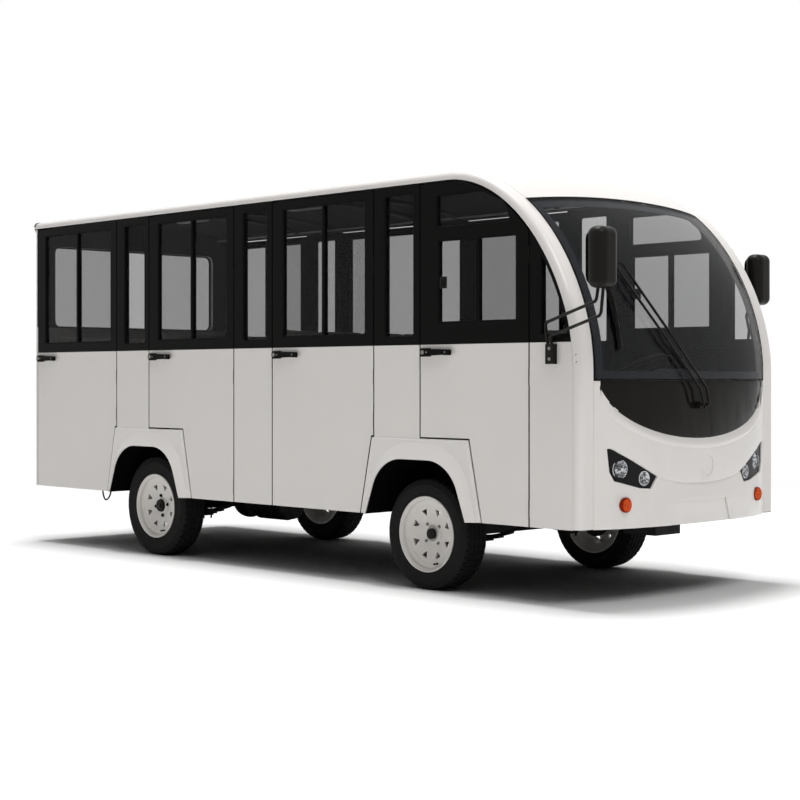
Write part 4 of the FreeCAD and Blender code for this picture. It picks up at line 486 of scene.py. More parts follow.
def inset(outline, distance):
    """The anticlockwise outline moved inwards."""
    moved = []
    for before, point, after in zip(outline[-1:] + outline[:-1], outline, outline[1:] + outline[:1]):
        back, ahead = (point - before).normalized(), (after - point).normalized()
        inwards = Vector((-back.y - ahead.y, back.x + ahead.x)).normalized()
        moved.append(point + inwards * distance / max(inwards.dot(Vector((-back.y, back.x))), STEEPEST_MITRE))
    return moved


def moulding(build, outline, section, place, closed=False):
    """Carries a section of (inwards, outwards) pairs round an outline.  closed leaves the middle open."""
    skin(build, [[place @ Vector((point.x, point.y, height)) for point in inset(outline, inwards)]
                 for inwards, height in section], closed)


def plate(build, outline, low, high, place, edge=1.2):
    """A plate over an outline, its outer edge rounded off."""
    section = [(0, low), (0, high - edge), (0.3 * edge, high - 0.3 * edge), (edge, high)]
    moulding(build, outline, section, place)


print("points on a rounded rectangle", len(oblong(0, 4, 0, 4, 1)))

# %% [markdown]
# Places say where a part's own axes stand.  A part on the right side is drawn as seen from there, x ahead
# and y up, and z looks out of the side.  A part that faces rearwards is drawn as seen from behind.

# %% Bars and places


def bar(build, points, radius):
    """A round bar along a smooth line through bends near the points."""
    line = bpy.data.curves.new("bar", "CURVE")
    line.dimensions = "3D"
    line.bevel_depth = radius
    line.bevel_resolution = 3
    line.use_fill_caps = True
    spline = line.splines.new("NURBS")
    spline.points.add(len(points) - 1)
    for control, point in zip(spline.points, points):
        control.co = (*point, 1.0)
    spline.order_u = 3
    spline.use_endpoint_u = True
    carrier = bpy.data.objects.new("bar", line)
    mesh = bpy.data.meshes.new_from_object(carrier)
    build.from_mesh(mesh)
    bpy.data.objects.remove(carrier)
    bpy.data.meshes.remove(mesh)


def shifted(x, y, z):
    return Matrix.Translation((x, y, z))


def rotated(degrees, axis):
    return Matrix.Rotation(math.radians(degrees), 4, axis)


def facing(origin, way):
    """The place whose z axis looks along way."""
    return shifted(*origin) @ Vector(way).to_track_quat("Z", "Y").to_matrix().to_4x4()


RIGHT_SIDE = shifted(0, -SIDE_Y, 0) @ Matrix(((1, 0, 0, 0), (0, 0, -1, 0), (0, 1, 0, 0), (0, 0, 0, 1)))
REARWARDS = Matrix(((0, 0, -1, 0), (-1, 0, 0, 0), (0, 1, 0, 0), (0, 0, 0, 1)))
REAR_WALL = shifted(REAR_X, 0, 0) @ REARWARDS
print("right side looks along", tuple(RIGHT_SIDE.to_3x3() @ Vector((0, 0, 1))))

# %% [markdown]
# A finished build becomes a piece.  It rides on the body that carries it, so that a door takes its seal
# along.  Both sides of the vehicle have the same parts, so the right one is drawn and its mirror image is
# made too.

# %% Pieces
CREASE = 35


def make(name, build, material, body="body", mirror=False):
    """Turns the build into a piece that rides on a body; mirror puts it on the vehicle's other side."""
    if mirror:
        bmesh.ops.transform(build, matrix=Matrix.Diagonal((1, -1, 1, 1)), verts=build.verts)
    bmesh.ops.recalc_face_normals(build, faces=build.faces)
    mesh = bpy.data.meshes.new(name)
    build.to_mesh(mesh)
    mesh.transform(Matrix.Scale(MM, 4))
    mesh.materials.append(material)
    mesh.shade_smooth()
    mesh.set_sharp_from_angle(angle=math.radians(CREASE))
    piece = bpy.data.objects.new(name, mesh)
    SCENE.collection.objects.link(piece)
    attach(piece, body)
    return piece


def pair(name, build, material, body="body"):
    """The piece on the right side and its mirror image on the left."""
    right = make(f"{name}_right", build, material, body.replace("SIDE", "right"))
    left = make(f"{name}_left", build, material, body.replace("SIDE", "left"), mirror=True)
    return right, left


# %% [markdown]
# The front curves in two directions, so whatever sits on it is laid on the real surface.  A ray sent back
# along X from ahead of the vehicle finds the surface at a chosen width and height, with the way it faces.

# %% Finding the front surface
AHEAD = 3000
BACK = Vector((-1, 0, 0))


def surface(*names):
    """A search tree over the faces of some carried-over nodes."""
    points, faces = [], []
    for name in names:
        mesh = NODES[name].data
        faces += [[len(points) + i for i in polygon.vertices] for polygon in mesh.polygons]
        points += [vert.co / MM for vert in mesh.vertices]
    return BVHTree.FromPolygons(points, faces)


NOSE = surface("windscreen", "front_fascia", "front_panel")


def on_nose(y, z, lift=0.0):
    """The point on the front at that y and z, lifted off it."""
    spot, way = NOSE.ray_cast(Vector((AHEAD, y, z)), BACK)[:2]
    return spot + (way if way.x > 0 else -way) * lift


print("nose at the middle", on_nose(0.0, 800.0))

# %% [markdown]
# A windscreen has a black ceramic border, the frit, printed on its inner face.  It hides the glue line.
# Here it is a narrow band of sheet just behind the glass, laid down in a few rows so that it follows the
# curve; its blue-grey colour is a painted reflection of the sky.  A much thinner band outside is the black
# rubber seal.

# %% Windscreen border and seal
SCREEN_STEP = 30
EDGE_CLEAR = 4
FRIT = ((0, -8), (14, -8), (28, -8), (40, -8), (40, -9), (0, -9))
SCREEN_SEAL = ((-2, 0.2), (0, 1.6), (3, 1.8), (5, -1), (-2, -1))


def screen_outline():
    """The windscreen seen from ahead, anticlockwise, in y and z."""
    half, base, top = SCREEN_HALF - EDGE_CLEAR, SCREEN_BASE + EDGE_CLEAR, SCREEN_TOP - EDGE_CLEAR
    across = round(2 * half / SCREEN_STEP)
    up = round((top - base) / SCREEN_STEP)
    widths = [half * (2 * i / across - 1) for i in range(across + 1)]
    heights = [base + (top - base) * i / up for i in range(1, up)]
    head = [Vector((y, top + SCREEN_CREST * (1 - (y / half) ** 2))) for y in reversed(widths)]
    return ([Vector((y, base)) for y in widths] + [Vector((half, z)) for z in heights] + head
            + [Vector((-half, z)) for z in reversed(heights)])


def nose_band(name, outline, section, material):
    """Carries (inwards, lift) pairs round an outline laid on the front."""
    build = bmesh.new()
    rings = [[on_nose(p.x, p.y, lift) for p in inset(outline, inwards)] for inwards, lift in section]
    skin(build, rings, closed=True)
    return make(name, build, material)


frit = nose_band("windscreen_frit", screen_outline(), FRIT, frit_painted_sky_reflection)
screen_seal = nose_band("windscreen_seal", screen_outline(), SCREEN_SEAL, seal_rubber)
print("frit and seal", len(frit.data.polygons), len(screen_seal.data.polygons), "faces")

# %% [markdown]
# Under the black fascia the nose panel has a moulded lip, a soft ridge about thirty millimetres wide.  Its
# inner slope faces up, so it catches the light from above and draws the smile on the face of the vehicle.
# The ridge is carried along the fascia's lower curve and dies out at both ends.  The curve is found by
# halving: at each width, the ray's height closes in on where the fascia ends.

# %% Nose lip
LIP_SECTION = ((1, 0.3), (-6, 3.0), (-16, 6.5), (-25, 9.0), (-31, 9.0), (-38, 5.5), (-46, 0.3))
LIP_END = 160
LIP_STEP, LIP_STEPS = 10, 58
LIP_LOWEST = 700
HALVINGS = 12
SAME_SPOT = 0.5


def fascia_curve():
    """The fascia's lower edge from the right end to the left, found where the nose panel takes over."""
    fascia = surface("front_fascia")
    curve = []
    for step in range(-LIP_STEPS, LIP_STEPS + 1):
        y = step * LIP_STEP
        low, high = LIP_LOWEST, SCREEN_BASE - 2
        for _ in range(HALVINGS):
            middle = (low + high) / 2
            hit = fascia.ray_cast(Vector((AHEAD, y, middle)), BACK)[0]
            seen = NOSE.ray_cast(Vector((AHEAD, y, middle)), BACK)[0] or Vector()
            on_fascia = hit is not None and abs(hit.x - seen.x) < SAME_SPOT
            low, high = (low, middle) if on_fascia else (middle, high)
        curve.append(Vector((y, high)))
    return [point for point in curve if point.y < SCREEN_BASE - 12]


edge_line = fascia_curve()
lip_rings = []
for before, point, after in zip(edge_line, edge_line[1:], edge_line[2:]):
    along = (after - before).normalized()
    inwards = Vector((-along.y, along.x))
    rise = min((point - edge_line[0]).length / LIP_END, (point - edge_line[-1]).length / LIP_END, 1.0)
    lip_rings.append([on_nose(*(point + inwards * across), up * rise) for across, up in LIP_SECTION])
lip = bmesh.new()
skin(lip, lip_rings)
make("nose_lip", lip, nose_gelcoat)
print("nose lip rows", len(lip_rings))

# %% [markdown]
# Each headlamp is a black housing with two round lamps sunk in it.  A pressed reflector is a dish with
# shallow flutes that scatter the beam.  A dark glass bulb stands in its middle, a thin bright ring holds the
# lens, and the lens is a low clear dome.  The parts are turned round the lamp's own axis.

# %% Headlamps
LAMP_BOWLS = ((0.8, 608, 41), (0.6, 564, 31))     # share of the half width, height and mouth radius
LAMP_MARGIN = 3
HOUSING = surface("headlamps")
DISH_SHARES = (0.97, 0.8, 0.6, 0.4, 0.25)
DISH_BALL = 1.3
DISH_LIFT, BULB_LIFT = 1.2, 1.5
BULB = ((0.26, 0), (0.3, 0.12), (0.27, 0.26), (0.15, 0.36))
LAMP_RING = ((-1.5, -1.5), (-1.2, 1.4), (0.6, 2.0), (1.8, 1.2), (2.0, -1.5))
LENS = ((1, 1.2), (0.8, 3.2), (0.45, 4.8))
LENS_INSIDE = ((0.45, 3.4), (0.8, 1.9), (1, 0.2))
FLUTES = 18


def flutes(turn):
    return 1 + 0.02 * math.cos(FLUTES * turn)


def lamp_axis(share, height, mouth):
    """The place of a lamp's mouth on the right housing, looking out along the housing's face."""
    y, reach = -share * SCREEN_HALF, mouth + LAMP_MARGIN
    rim = [HOUSING.ray_cast(Vector((AHEAD, y + dy * reach, height + dz * reach)), BACK)[0]
           for dy, dz in ((-1, 0), (1, 0), (0, -0.9), (0, 0.9))]
    way = (rim[1] - rim[0]).cross(rim[3] - rim[2]).normalized()
    return facing((rim[0] + rim[1]) / 2, way if way.x > 0 else -way)


dish, bulb, ring, dome = (bmesh.new() for _ in range(4))
for share, height, mouth in LAMP_BOWLS:
    place = lamp_axis(share, height, mouth)
    ball = DISH_BALL * mouth
    sink = math.sqrt(ball ** 2 - mouth ** 2)
    bowl = [(part * mouth, sink - math.sqrt(ball ** 2 - (part * mouth) ** 2)) for part in DISH_SHARES]
    back = [(0.2 * mouth, -0.5 * mouth), (0.9 * mouth, -3)]
    turned(dish, [(radius, up + DISH_LIFT) for radius, up in bowl] + back, place, 72, flutes)
    seat = bowl[-1][1] + BULB_LIFT
    turned(bulb, [(part * mouth, seat + up * mouth) for part, up in BULB] + [(TIP, seat + 0.39 * mouth)],
           place, 28)
    turned(ring, [(mouth + out, up) for out, up in LAMP_RING], place, 56, closed=True)
    turned(dome, [(part * mouth, up) for part, up in LENS] + [(TIP, 5.4), (TIP, 4.0)]
           + [(part * mouth, up) for part, up in LENS_INSIDE], place, 56)
lamps = [pair("lamp_reflector", dish, reflector_painted_reflections), pair("lamp_bulb", bulb, lamp_housing),
         pair("lamp_ring", ring, chrome), pair("lamp_lens", dome, clear_lens)]
print("headlamp pieces", sum(len(both) for both in lamps))

# %% [markdown]
# The turn lamps are round amber acrylic lenses on a thin base.  Their inside carries rings and ribs that
# spread the light, which show as facets.  A wave on the turned profile gives the ribs.

# %% Turn lamps
TURN_SHARE = 0.775
TURN_Z = 451
TURN_R = 33
RIBS = 16
TURN_LENS = ((0.86, -1.0), (0.84, 1.6), (0.72, 2.0), (0.68, 1.2), (0.56, 2.6), (0.5, 1.8), (0.36, 3.0),
             (0.3, 2.2), (0.1, 3.2))
TURN_RIM = ((0.86, -2), (0.88, 0.8), (0.96, 0.8), (1.01, -2))


def ribs_round(turn):
    return 1 + 0.03 * math.cos(RIBS * turn)


lens, rim = bmesh.new(), bmesh.new()
turn_place = shifted(box("turn_lamps")[1].x, -TURN_SHARE * SCREEN_HALF, TURN_Z) @ rotated(90, "Y")
turned(lens, [(share * TURN_R, up) for share, up in TURN_LENS], turn_place, 64, ribs_round)
turned(rim, [(share * TURN_R, up) for share, up in TURN_RIM], turn_place, 56, closed=True)
pair("turn_lens", lens, amber_acrylic_painted_shading)
pair("turn_rim", rim, amber_shade)
print("turn lamps at", tuple(round(value, 1) for value in turn_place.translation))

# %% [markdown]
# Each side pane sits in a black EPDM channel.  Its section is carried round the pane's outline.  The doors
# carry theirs with them when they swing.  The cab door has a sliding pair below an arched upper light; the
# other doors have one wide opening, and narrow panes stand between the doors.

# %% Window seals
WINDOW_SEAL = ((-0.4, -11.8), (-0.4, -2.0), (1.5, -1.0), (5.5, -3.0), (7.0, -11.8))
CAB_DOOR = 1
DOORS = (1, 2, 3, 4)
DOOR_GAP = 4
DOOR_REAR = {number: box(f"door_{number}_right")[0].x - DOOR_GAP for number in DOORS}
DOOR_FRONT = {number: pivot(f"door_{number}_right_hinge").x for number in DOORS}
PANE_RADIUS, PILLAR_RADIUS = 8, 18
DIVIDER = 14
SLIDER_TOP, TRANSOM = 1655, 1712
SLIDER_START = 12
PILLAR_REAR, PILLAR_FRONT = 76, 43


def cab_panes():
    """The sliding pair and the arched light over it."""
    low, high = box("glass_1_right")
    left, middle = low.x + SLIDER_START, (low.x + SLIDER_START + high.x) / 2
    arched = soften([(low.x, TRANSOM, 14), (high.x - 36, TRANSOM, 20), (high.x - 82, 1810, 60),
                     (high.x - 222, high.z, 160), (low.x, high.z, 14)])
    return [oblong(left, middle - DIVIDER / 2, low.z, SLIDER_TOP, PANE_RADIUS),
            oblong(middle + DIVIDER / 2, high.x, low.z, SLIDER_TOP, PANE_RADIUS), arched]


def door_panes(number):
    if number == CAB_DOOR:
        return cab_panes()
    low, high = box(f"glass_{number}_right")
    return [oblong(low.x, high.x, low.z, high.z, PANE_RADIUS)]


for number in DOORS:
    seal = bmesh.new()
    for pane in door_panes(number):
        moulding(seal, pane, WINDOW_SEAL, RIGHT_SIDE, closed=True)
    pair(f"door_{number}_seal", seal, seal_rubber, f"door_body_{number}_SIDE")
fixed_seals = bmesh.new()
pillar_low, pillar_high = box("fixed_windows")
for number in DOORS[1:]:
    pane = oblong(DOOR_FRONT[number] + PILLAR_REAR, DOOR_REAR[number - 1] - PILLAR_FRONT, pillar_low.z,
                  pillar_high.z, PILLAR_RADIUS)
    moulding(fixed_seals, pane, WINDOW_SEAL, RIGHT_SIDE, closed=True)
pair("fixed_window_seals", fixed_seals, seal_rubber)
print("doors from", DOOR_REAR, "to", DOOR_FRONT)

# %% [markdown]
# The cab door's sliding pane has a small moulded latch: a rounded block with a ribbed thumb grip.  It rides
# on the door.

# %% Slider latch
LATCH_WIDE, LATCH_HIGH = 41, 56
LATCH_IN, LATCH_BELOW = 5, 33
GRIP_RIBS = 5
pane_low = box("glass_1_right")[0]
left = pane_low.x + SLIDER_START + LATCH_IN
low = (pane_low.z + SLIDER_TOP) / 2 - LATCH_BELOW
latch = bmesh.new()
plate(latch, oblong(left, left + LATCH_WIDE, low, low + LATCH_HIGH, 6), -12, -4, RIGHT_SIDE)
for rib in range(GRIP_RIBS):
    across = left + 12 + 4.5 * rib
    plate(latch, oblong(across, across + 2.4, low + 10, low + 44, 1.1), -5, -1.5, RIGHT_SIDE, 0.5)
pair("slider_latch_1", latch, moulded_abs, "door_body_1_SIDE")
print("latch from", left, low)

# %% [markdown]
# The key barrels in the door handles are zinc plated, turned with a chamfer, and have a key slot.  Two dome
# screws hold each handle.

# %% Door locks and handle screws
HANDLE_INSET = 38
HANDLE_Z = 1130
LOCK_OUT = 24
HANDLE_SCREWS = (30, 150)
BARREL = ((10.5, -1), (10.5, 0.8), (9.5, 1.6), (6.2, 1.6), (5.8, 0.9), (TIP, 0.9))
HANDLE_SCREW = ((4.0, 26), (4.0, 28.6), (2.6, 29.8), (0.4, 30))
for number in DOORS:
    lock = bmesh.new()
    barrel_x = DOOR_REAR[number] + HANDLE_INSET
    barrel = RIGHT_SIDE @ shifted(barrel_x, HANDLE_Z, LOCK_OUT)
    turned(lock, BARREL, barrel, 32)
    plate(lock, oblong(-1.1, 1.1, -4.2, 4.2, 0.9), 0.9, 1.4, barrel, 0.2)
    for shift in HANDLE_SCREWS:
        turned(lock, HANDLE_SCREW, RIGHT_SIDE @ shifted(barrel_x + shift, HANDLE_Z, 0), 20)
    pair(f"door_lock_{number}", lock, zinc_plate, f"door_body_{number}_SIDE")
print("locks on", 2 * len(DOORS), "doors")

# %% [markdown]
# Road tyres for a 13 inch wheel.  The sidewall has moulded rings, the shoulder carries blocks, and three
# grooves run round the crown.  The blocks are cut by lowering the ribs at regular turns; the middle ribs
# are cut half a pitch later, as on a real tread.

# %% Tyres
TREAD_PITCHES = 50
GROOVE = 7
SHOULDER = 44
SHOULDER_CUT, MIDDLE_CUT = 0.85 * GROOVE, 0.6 * GROOVE
CROWN_DROP, CROWN_HALF = 0.9, 40
BEAD_DEPTH, BEAD_HALF = 4, 62
SIDEWALL = ((0.0, 66), (0.03, 73), (0.07, 74.5), (0.1, 77.5), (0.15, 77.5), (0.17, 76.6), (0.35, 79),
            (0.47, 79.6), (0.6, 78.4), (0.62, 79.4), (0.66, 79.2), (0.68, 77.6), (0.78, 75), (0.86, 71.6),
            (0.92, 67.5))
CROWN = ((64, 0), (56, 0), (46, 0), (44.5, 7), (39.5, 7), (38, 0), (28, 0), (18, 0), (16.5, 7), (11.5, 7),
         (10, 0), (4, 0))
STATIONS = (0.0, 0.03, 0.2, 0.23, 0.5, 0.53, 0.62, 0.65)
WHEELS = {end: pivot(f"{end}_right_wheel_spin") for end in ("front", "rear")}
RIM_EDGE = (box("rim_front_right")[1].z - box("rim_front_right")[0].z) / 2


def tread_cut(across, part):
    """How far the tread is lowered at that millimetre across and that part of a pitch."""
    if abs(across) >= SHOULDER:
        return SHOULDER_CUT if 0.02 < part < 0.21 else 0.0
    return MIDDLE_CUT if 0.52 < part < 0.63 else 0.0


def tyre_mesh(build, radius, place):
    """One tyre about the z axis of place, outer side towards +z."""
    wall = [(RIM_EDGE + (radius - RIM_EDGE) * share, half, 0, None) for share, half in SIDEWALL]
    crown = [(radius - CROWN_DROP * (half / CROWN_HALF) ** 2, half, depth, half) for half, depth in CROWN]
    side = wall + crown
    profile = side + [(r, -half, depth, mark if mark is None else -mark)
                      for r, half, depth, mark in reversed(side)]
    profile += [(RIM_EDGE - BEAD_DEPTH, -BEAD_HALF, 0, None), (RIM_EDGE - BEAD_DEPTH, BEAD_HALF, 0, None)]
    rings = []
    for pitch in range(TREAD_PITCHES):
        for part in STATIONS:
            turn = (pitch + part) * math.tau / TREAD_PITCHES
            ring = []
            for r, along, depth, mark in profile:
                low = r - depth - (tread_cut(mark, part) if mark is not None and not depth else 0)
                ring.append(place @ Vector((low * math.cos(turn), low * math.sin(turn), along)))
            rings.append(ring)
    skin(build, rings, True)


wheel_places = {}
for end, middle in WHEELS.items():
    wheel_places[end] = shifted(*middle) @ rotated(90, "X")
    build = bmesh.new()
    tyre_mesh(build, middle.z, wheel_places[end])
    tyres = pair(f"road_tyre_{end}", build, tyre_rubber, f"wheel_{end}_SIDE")
    for side, tyre in zip(("right", "left"), tyres):
        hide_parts(f"tyre_{end}_{side}")
print("tyre faces", len(tyre.data.polygons), "each, rim edge at", RIM_EDGE)

# %% [markdown]
# The pressed wheels bolt on with four nuts.  In front, a ringed dust cap covers the hub and the studs are
# small.  At the back the hub flange is larger and black, with deep nut seats.  Every wheel has a rubber
# valve near its edge.  All of them stand on the wheel's pressed face, whose height a ray finds.

# %% Hubs, nuts and valves
OUTSIDE = 400
HUB_CAP = {
    "front": ((25.5, 1), (23, 3), (19, 3), (18, 1.6), (15, 1.6), (14, 3), (7, 4), (TIP, 4.2)),
    "rear": ((34, 1), (31, 3), (24, 3), (22, 0.5), (15, 0.5), (14, 7), (9, 8), (TIP, 8)),
}
HUB_RING = {
    "front": ((36.5, -2), (36.5, 1.5), (34, 3), (27, 2.2), (26, -2)),
    "rear": ((36.5, -2), (36.5, 1.0), (35.4, 1.6), (34.2, 1.0), (34.2, -2)),
}
HUB_METAL = {"front": zinc_plate, "rear": chassis_paint}
NUT_CIRCLE = 57
NUT_START = {"front": 40, "rear": 8}
NUT_SIZE = {"front": 0.8, "rear": 1.0}
NUT_PARTS = ((24, ((11, -1.5), (11, 1.2), (8.6, 2.4))), (6, ((8.2, 1), (8.2, 7.4), (7, 8.6))),
             (16, ((4.4, 6), (4.4, 11), (3.4, 12))))     # washer, hexagon and stud
VALVE = ((5.5, -2), (5.5, 1), (3.6, 3), (3.6, 17), (4.2, 18), (4.2, 25), (3.2, 27))
VALVE_CIRCLE = 148
VALVE_TURN = math.radians(-70)
RIM_FACES = {end: surface(f"rim_{end}_right") for end in WHEELS}


def on_disc(end, radius, turn):
    """The point on the wheel's face at that radius and turn, on the wheel's own axes."""
    flat = Vector((radius * math.cos(turn), radius * math.sin(turn), 0))
    spot = wheel_places[end] @ (flat + Vector((0, 0, OUTSIDE)))
    hit = RIM_FACES[end].ray_cast(spot, Vector((0, 1, 0)))[0]
    return flat + Vector((0, 0, WHEELS[end].y - hit.y))


for end, place in wheel_places.items():
    cap, bright, nuts, valve = (bmesh.new() for _ in range(4))
    face = on_disc(end, 31, 0.2).z
    boss = on_disc(end, 2, 0.0).z
    cap_foot = [(HUB_CAP[end][0][0], face - 3)]
    turned(cap, cap_foot + [(radius, boss + up) for radius, up in HUB_CAP[end]], place, 40)
    turned(bright, [(radius, face + up) for radius, up in HUB_RING[end]], place, 48)
    for number in range(4):
        nut_place = place @ shifted(*on_disc(end, NUT_CIRCLE, math.radians(NUT_START[end] + 90 * number)))
        for steps, profile in NUT_PARTS:
            turned(nuts, [(radius * NUT_SIZE[end], up) for radius, up in profile], nut_place, steps)
    turned(valve, VALVE, place @ shifted(*on_disc(end, VALVE_CIRCLE, VALVE_TURN)), 18)
    body = f"wheel_{end}_SIDE"
    pair(f"hub_cap_{end}", cap, moulded_abs, body)
    pair(f"hub_ring_{end}", bright, HUB_METAL[end], body)
    pair(f"wheel_nuts_{end}", nuts, HUB_METAL[end], body)
    pair(f"tyre_valve_{end}", valve, seal_rubber, body)
    print(end, "disc face", round(face, 1), "boss", round(boss, 1))

# %% [markdown]
# Each mirror head holds a flat glass in its rear face: chromed glass in a thin black rim.  The bracket is
# held by two hexagon bolts.  The left arm is cranked back, so that its head stands where the driver can
# see it.

# %% Mirror glasses and bracket bolts
HEAD_REAR = {"right": (2228.5, -900), "left": (1801.5, 900)}
HEAD_Z = 1510
MIRROR_RIM = ((0, -2), (0, 1.2), (1.5, 2), (3.2, 1.2), (3.2, -2))
BRACKET_X, BRACKET_OUT = 1882, 26
BOLT_HEIGHTS = (1092, 1138)
BOLT_WASHER = ((7.5, -1), (7.5, 1), (6.8, 1.4))
BOLT_HEAD = ((5.6, 1), (5.6, 4.4), (4.6, 5.2))
for side, (x, y) in HEAD_REAR.items():
    head = shifted(x, y, HEAD_Z) @ REARWARDS
    mirror, rim = bmesh.new(), bmesh.new()
    plate(mirror, oblong(-47, 47, -108, 108, 34), -2, 0.8, head)
    moulding(rim, oblong(-50, 50, -111, 111, 37), MIRROR_RIM, head, closed=True)
    make(f"mirror_glass_{side}", mirror, chrome)
    make(f"mirror_rim_{side}", rim, seal_rubber)
bolts = bmesh.new()
for z in BOLT_HEIGHTS:
    bolt_place = RIGHT_SIDE @ shifted(BRACKET_X, z, BRACKET_OUT)
    turned(bolts, BOLT_WASHER, bolt_place, 28)
    turned(bolts, BOLT_HEAD, bolt_place, 6)
pair("mirror_bolts", bolts, zinc_plate)
print("mirror glasses", len(HEAD_REAR))

# %% [markdown]
# The wiper blade is a sprung frame: a long bow with claws that press a thin rubber lip on the glass.  The
# plain bar from the frame stays as its spine.  The bow and the claws stand off it, and the lip runs under
# it, all laid along the glass.

# %% Wiper blade
BLADE_Y = -540
BLADE_LOW, BLADE_HIGH = 1150, 1545
BOW = ((-120, 21), (-60, 30), (0, 33), (60, 30), (120, 21))
YOKE = ((72, 18), (100, 24), (130, 25), (160, 22), (188, 15))
CLAW = ((14, -9), (20, -6), (20, 6), (14, 9))
CLAW_GAPS = 8
LIP = ((-3.5, 9), (3.5, 9), (1.2, 1.6), (-1.2, 1.6))
LIP_PITCH = 14


def blade_point(z, lift, shift=0.0):
    return on_nose(BLADE_Y + shift, z, lift)


blade, rubber = bmesh.new(), bmesh.new()
middle = (BLADE_LOW + BLADE_HIGH) / 2
bar(blade, [blade_point(middle + reach, lift) for reach, lift in BOW], 4.5)
for end in (-1, 1):
    bar(blade, [blade_point(middle + end * reach, lift) for reach, lift in YOKE], 3.5)
for step in range(CLAW_GAPS + 1):
    z = BLADE_LOW + step * (BLADE_HIGH - BLADE_LOW) / CLAW_GAPS
    bar(blade, [blade_point(z, lift, shift) for lift, shift in CLAW], 2.2)
lip_rows = range(BLADE_LOW - 8, BLADE_HIGH + 9, LIP_PITCH)
skin(rubber, [[blade_point(z, lift, across) for across, lift in LIP] for z in lip_rows])
make("wiper_bow", blade, moulded_abs)
make("wiper_lip", rubber, seal_rubber)
print("wiper rows", len(lip_rows))

# %% [markdown]
# Behind, the lamps have a chromed surround and moulded ribs, and the window a rubber seal.  A black rubber
# gutter runs over the rear edge of the roof from side to side.  Rays sent in towards a point under the roof
# find the shell's outer face for it.

# %% Rear fittings
REAR_SEAL = ((-6, -1), (-6, 2.4), (2, 3), (8, 0.6), (8, -9))
SURROUND = ((0, -0.5), (0.6, 5), (3, 6), (5.4, 4.6), (5.4, -0.5))
LAMP_HALF, LAMP_FRAME = 35, 5
LAMP_RIBS, RIB_PITCH, RIB_WIDE = 9, 22, 12
GUTTER = ((-6, -3), (-6, 2), (-3, 4.5), (4, 4.5), (7, 2), (7, -3))
GUTTER_HALF_TURN = 48
GUTTER_LOW, GUTTER_HUB = 1900, 1200
FAR = 2000
window, surround, ribs, gutter = (bmesh.new() for _ in range(4))
moulding(window, oblong(-620, 620, 1327, 1832, 45), REAR_SEAL, REAR_WALL, closed=True)
lamp_low, lamp_high = box("tail_lamps")
for side in (-1, 1):
    middle = side * (lamp_high.y - LAMP_HALF)
    reach = LAMP_HALF + LAMP_FRAME
    frame_line = oblong(middle - reach, middle + reach, lamp_low.z - LAMP_FRAME, lamp_high.z + LAMP_FRAME, 12)
    moulding(surround, frame_line, SURROUND, REAR_WALL, closed=True)
    for rib in range(LAMP_RIBS):
        low = lamp_low.z + 16 + rib * RIB_PITCH
        plate(ribs, oblong(middle - 27, middle + 27, low, low + RIB_WIDE, 4), 13, 15.8, REAR_WALL, 0.9)
SHELL = surface("roof", "hoops", "rear_wall")
hub = Vector((REAR_X + 6, 0, GUTTER_HUB))
gutter_rings = []
for degree in range(-GUTTER_HALF_TURN, GUTTER_HALF_TURN + 1):
    turn = math.radians(90 + degree)
    way = Vector((0, math.cos(turn), math.sin(turn)))
    spot = SHELL.ray_cast(hub + way * FAR, -way)[0]
    if spot.z >= GUTTER_LOW:
        gutter_rings.append([spot + Vector((x, 0, 0)) + way * up for x, up in GUTTER])
skin(gutter, gutter_rings)
make("roof_gutter", gutter, seal_rubber)
make("rear_window_seal", window, seal_rubber)
make("tail_lamp_surrounds", surround, chrome)
make("tail_lamp_ribs", ribs, red_acrylic_painted_shading)
print("rear fittings", 4, "gutter rows", len(gutter_rings))

# %% [markdown]
# Each bench has a foam pad and a backrest covered in vinyl.  The CAD part holds all of them in one node, so
# they are taken apart first.  They stay in metres, because the cloth solver's forces are made for those.

# %% Bench parts


def shells(node):
    """The separate closed shells of a CAD node, each as a new mesh, sorted from the rear to the front."""
    whole = bmesh.new()
    whole.from_mesh(node.data)
    bmesh.ops.remove_doubles(whole, verts=whole.verts, dist=0.02 * MM)
    found = []
    waiting = set(whole.verts)
    while waiting:
        shell = set()
        edge_of_shell = [waiting.pop()]
        while edge_of_shell:
            vert = edge_of_shell.pop()
            shell.add(vert)
            edge_of_shell += [edge.other_vert(vert) for edge in vert.link_edges
                              if edge.other_vert(vert) not in shell]
        waiting -= shell
        numbers = {vert: number for number, vert in enumerate(shell)}
        faces = {face for vert in shell for face in vert.link_faces}
        mesh = bpy.data.meshes.new(node.name + "_shell")
        mesh.from_pydata([vert.co[:] for vert in shell], [],
                         [[numbers[vert] for vert in face.verts] for face in faces])
        found.append(mesh)
    whole.free()
    return sorted(found, key=lambda mesh: sum(vert.co.x for vert in mesh.vertices) / len(mesh.vertices))


bench_parts = shells(NODES["seat_cushions"])
ROWS = len(bench_parts) // 2
print("cushions found", len(bench_parts))

# %% [markdown]
# Cloth under pressure swells a cushion the way foam fills a sewn cover.  The sewn channels come after the
# swelling: the surface is drawn in along three lines across the bench.

# %% Swelling
VOXEL = 26 * MM
SWELL_CAP = 24 * MM
PRESSURE = 4.0
CLOTH_FRAMES = 20
CHANNELS = (-320 * MM, 0.0, 320 * MM)
CHANNEL_DEPTH = 9 * MM
CHANNEL_HALF = 13 * MM


def apply_modifiers(piece):
    """Makes what the modifiers show the piece's own mesh, and leaves no modifier on it."""
    graph = bpy.context.evaluated_depsgraph_get()
    mesh = bpy.data.meshes.new_from_object(piece.evaluated_get(graph))
    piece.modifiers.clear()
    piece.data = mesh


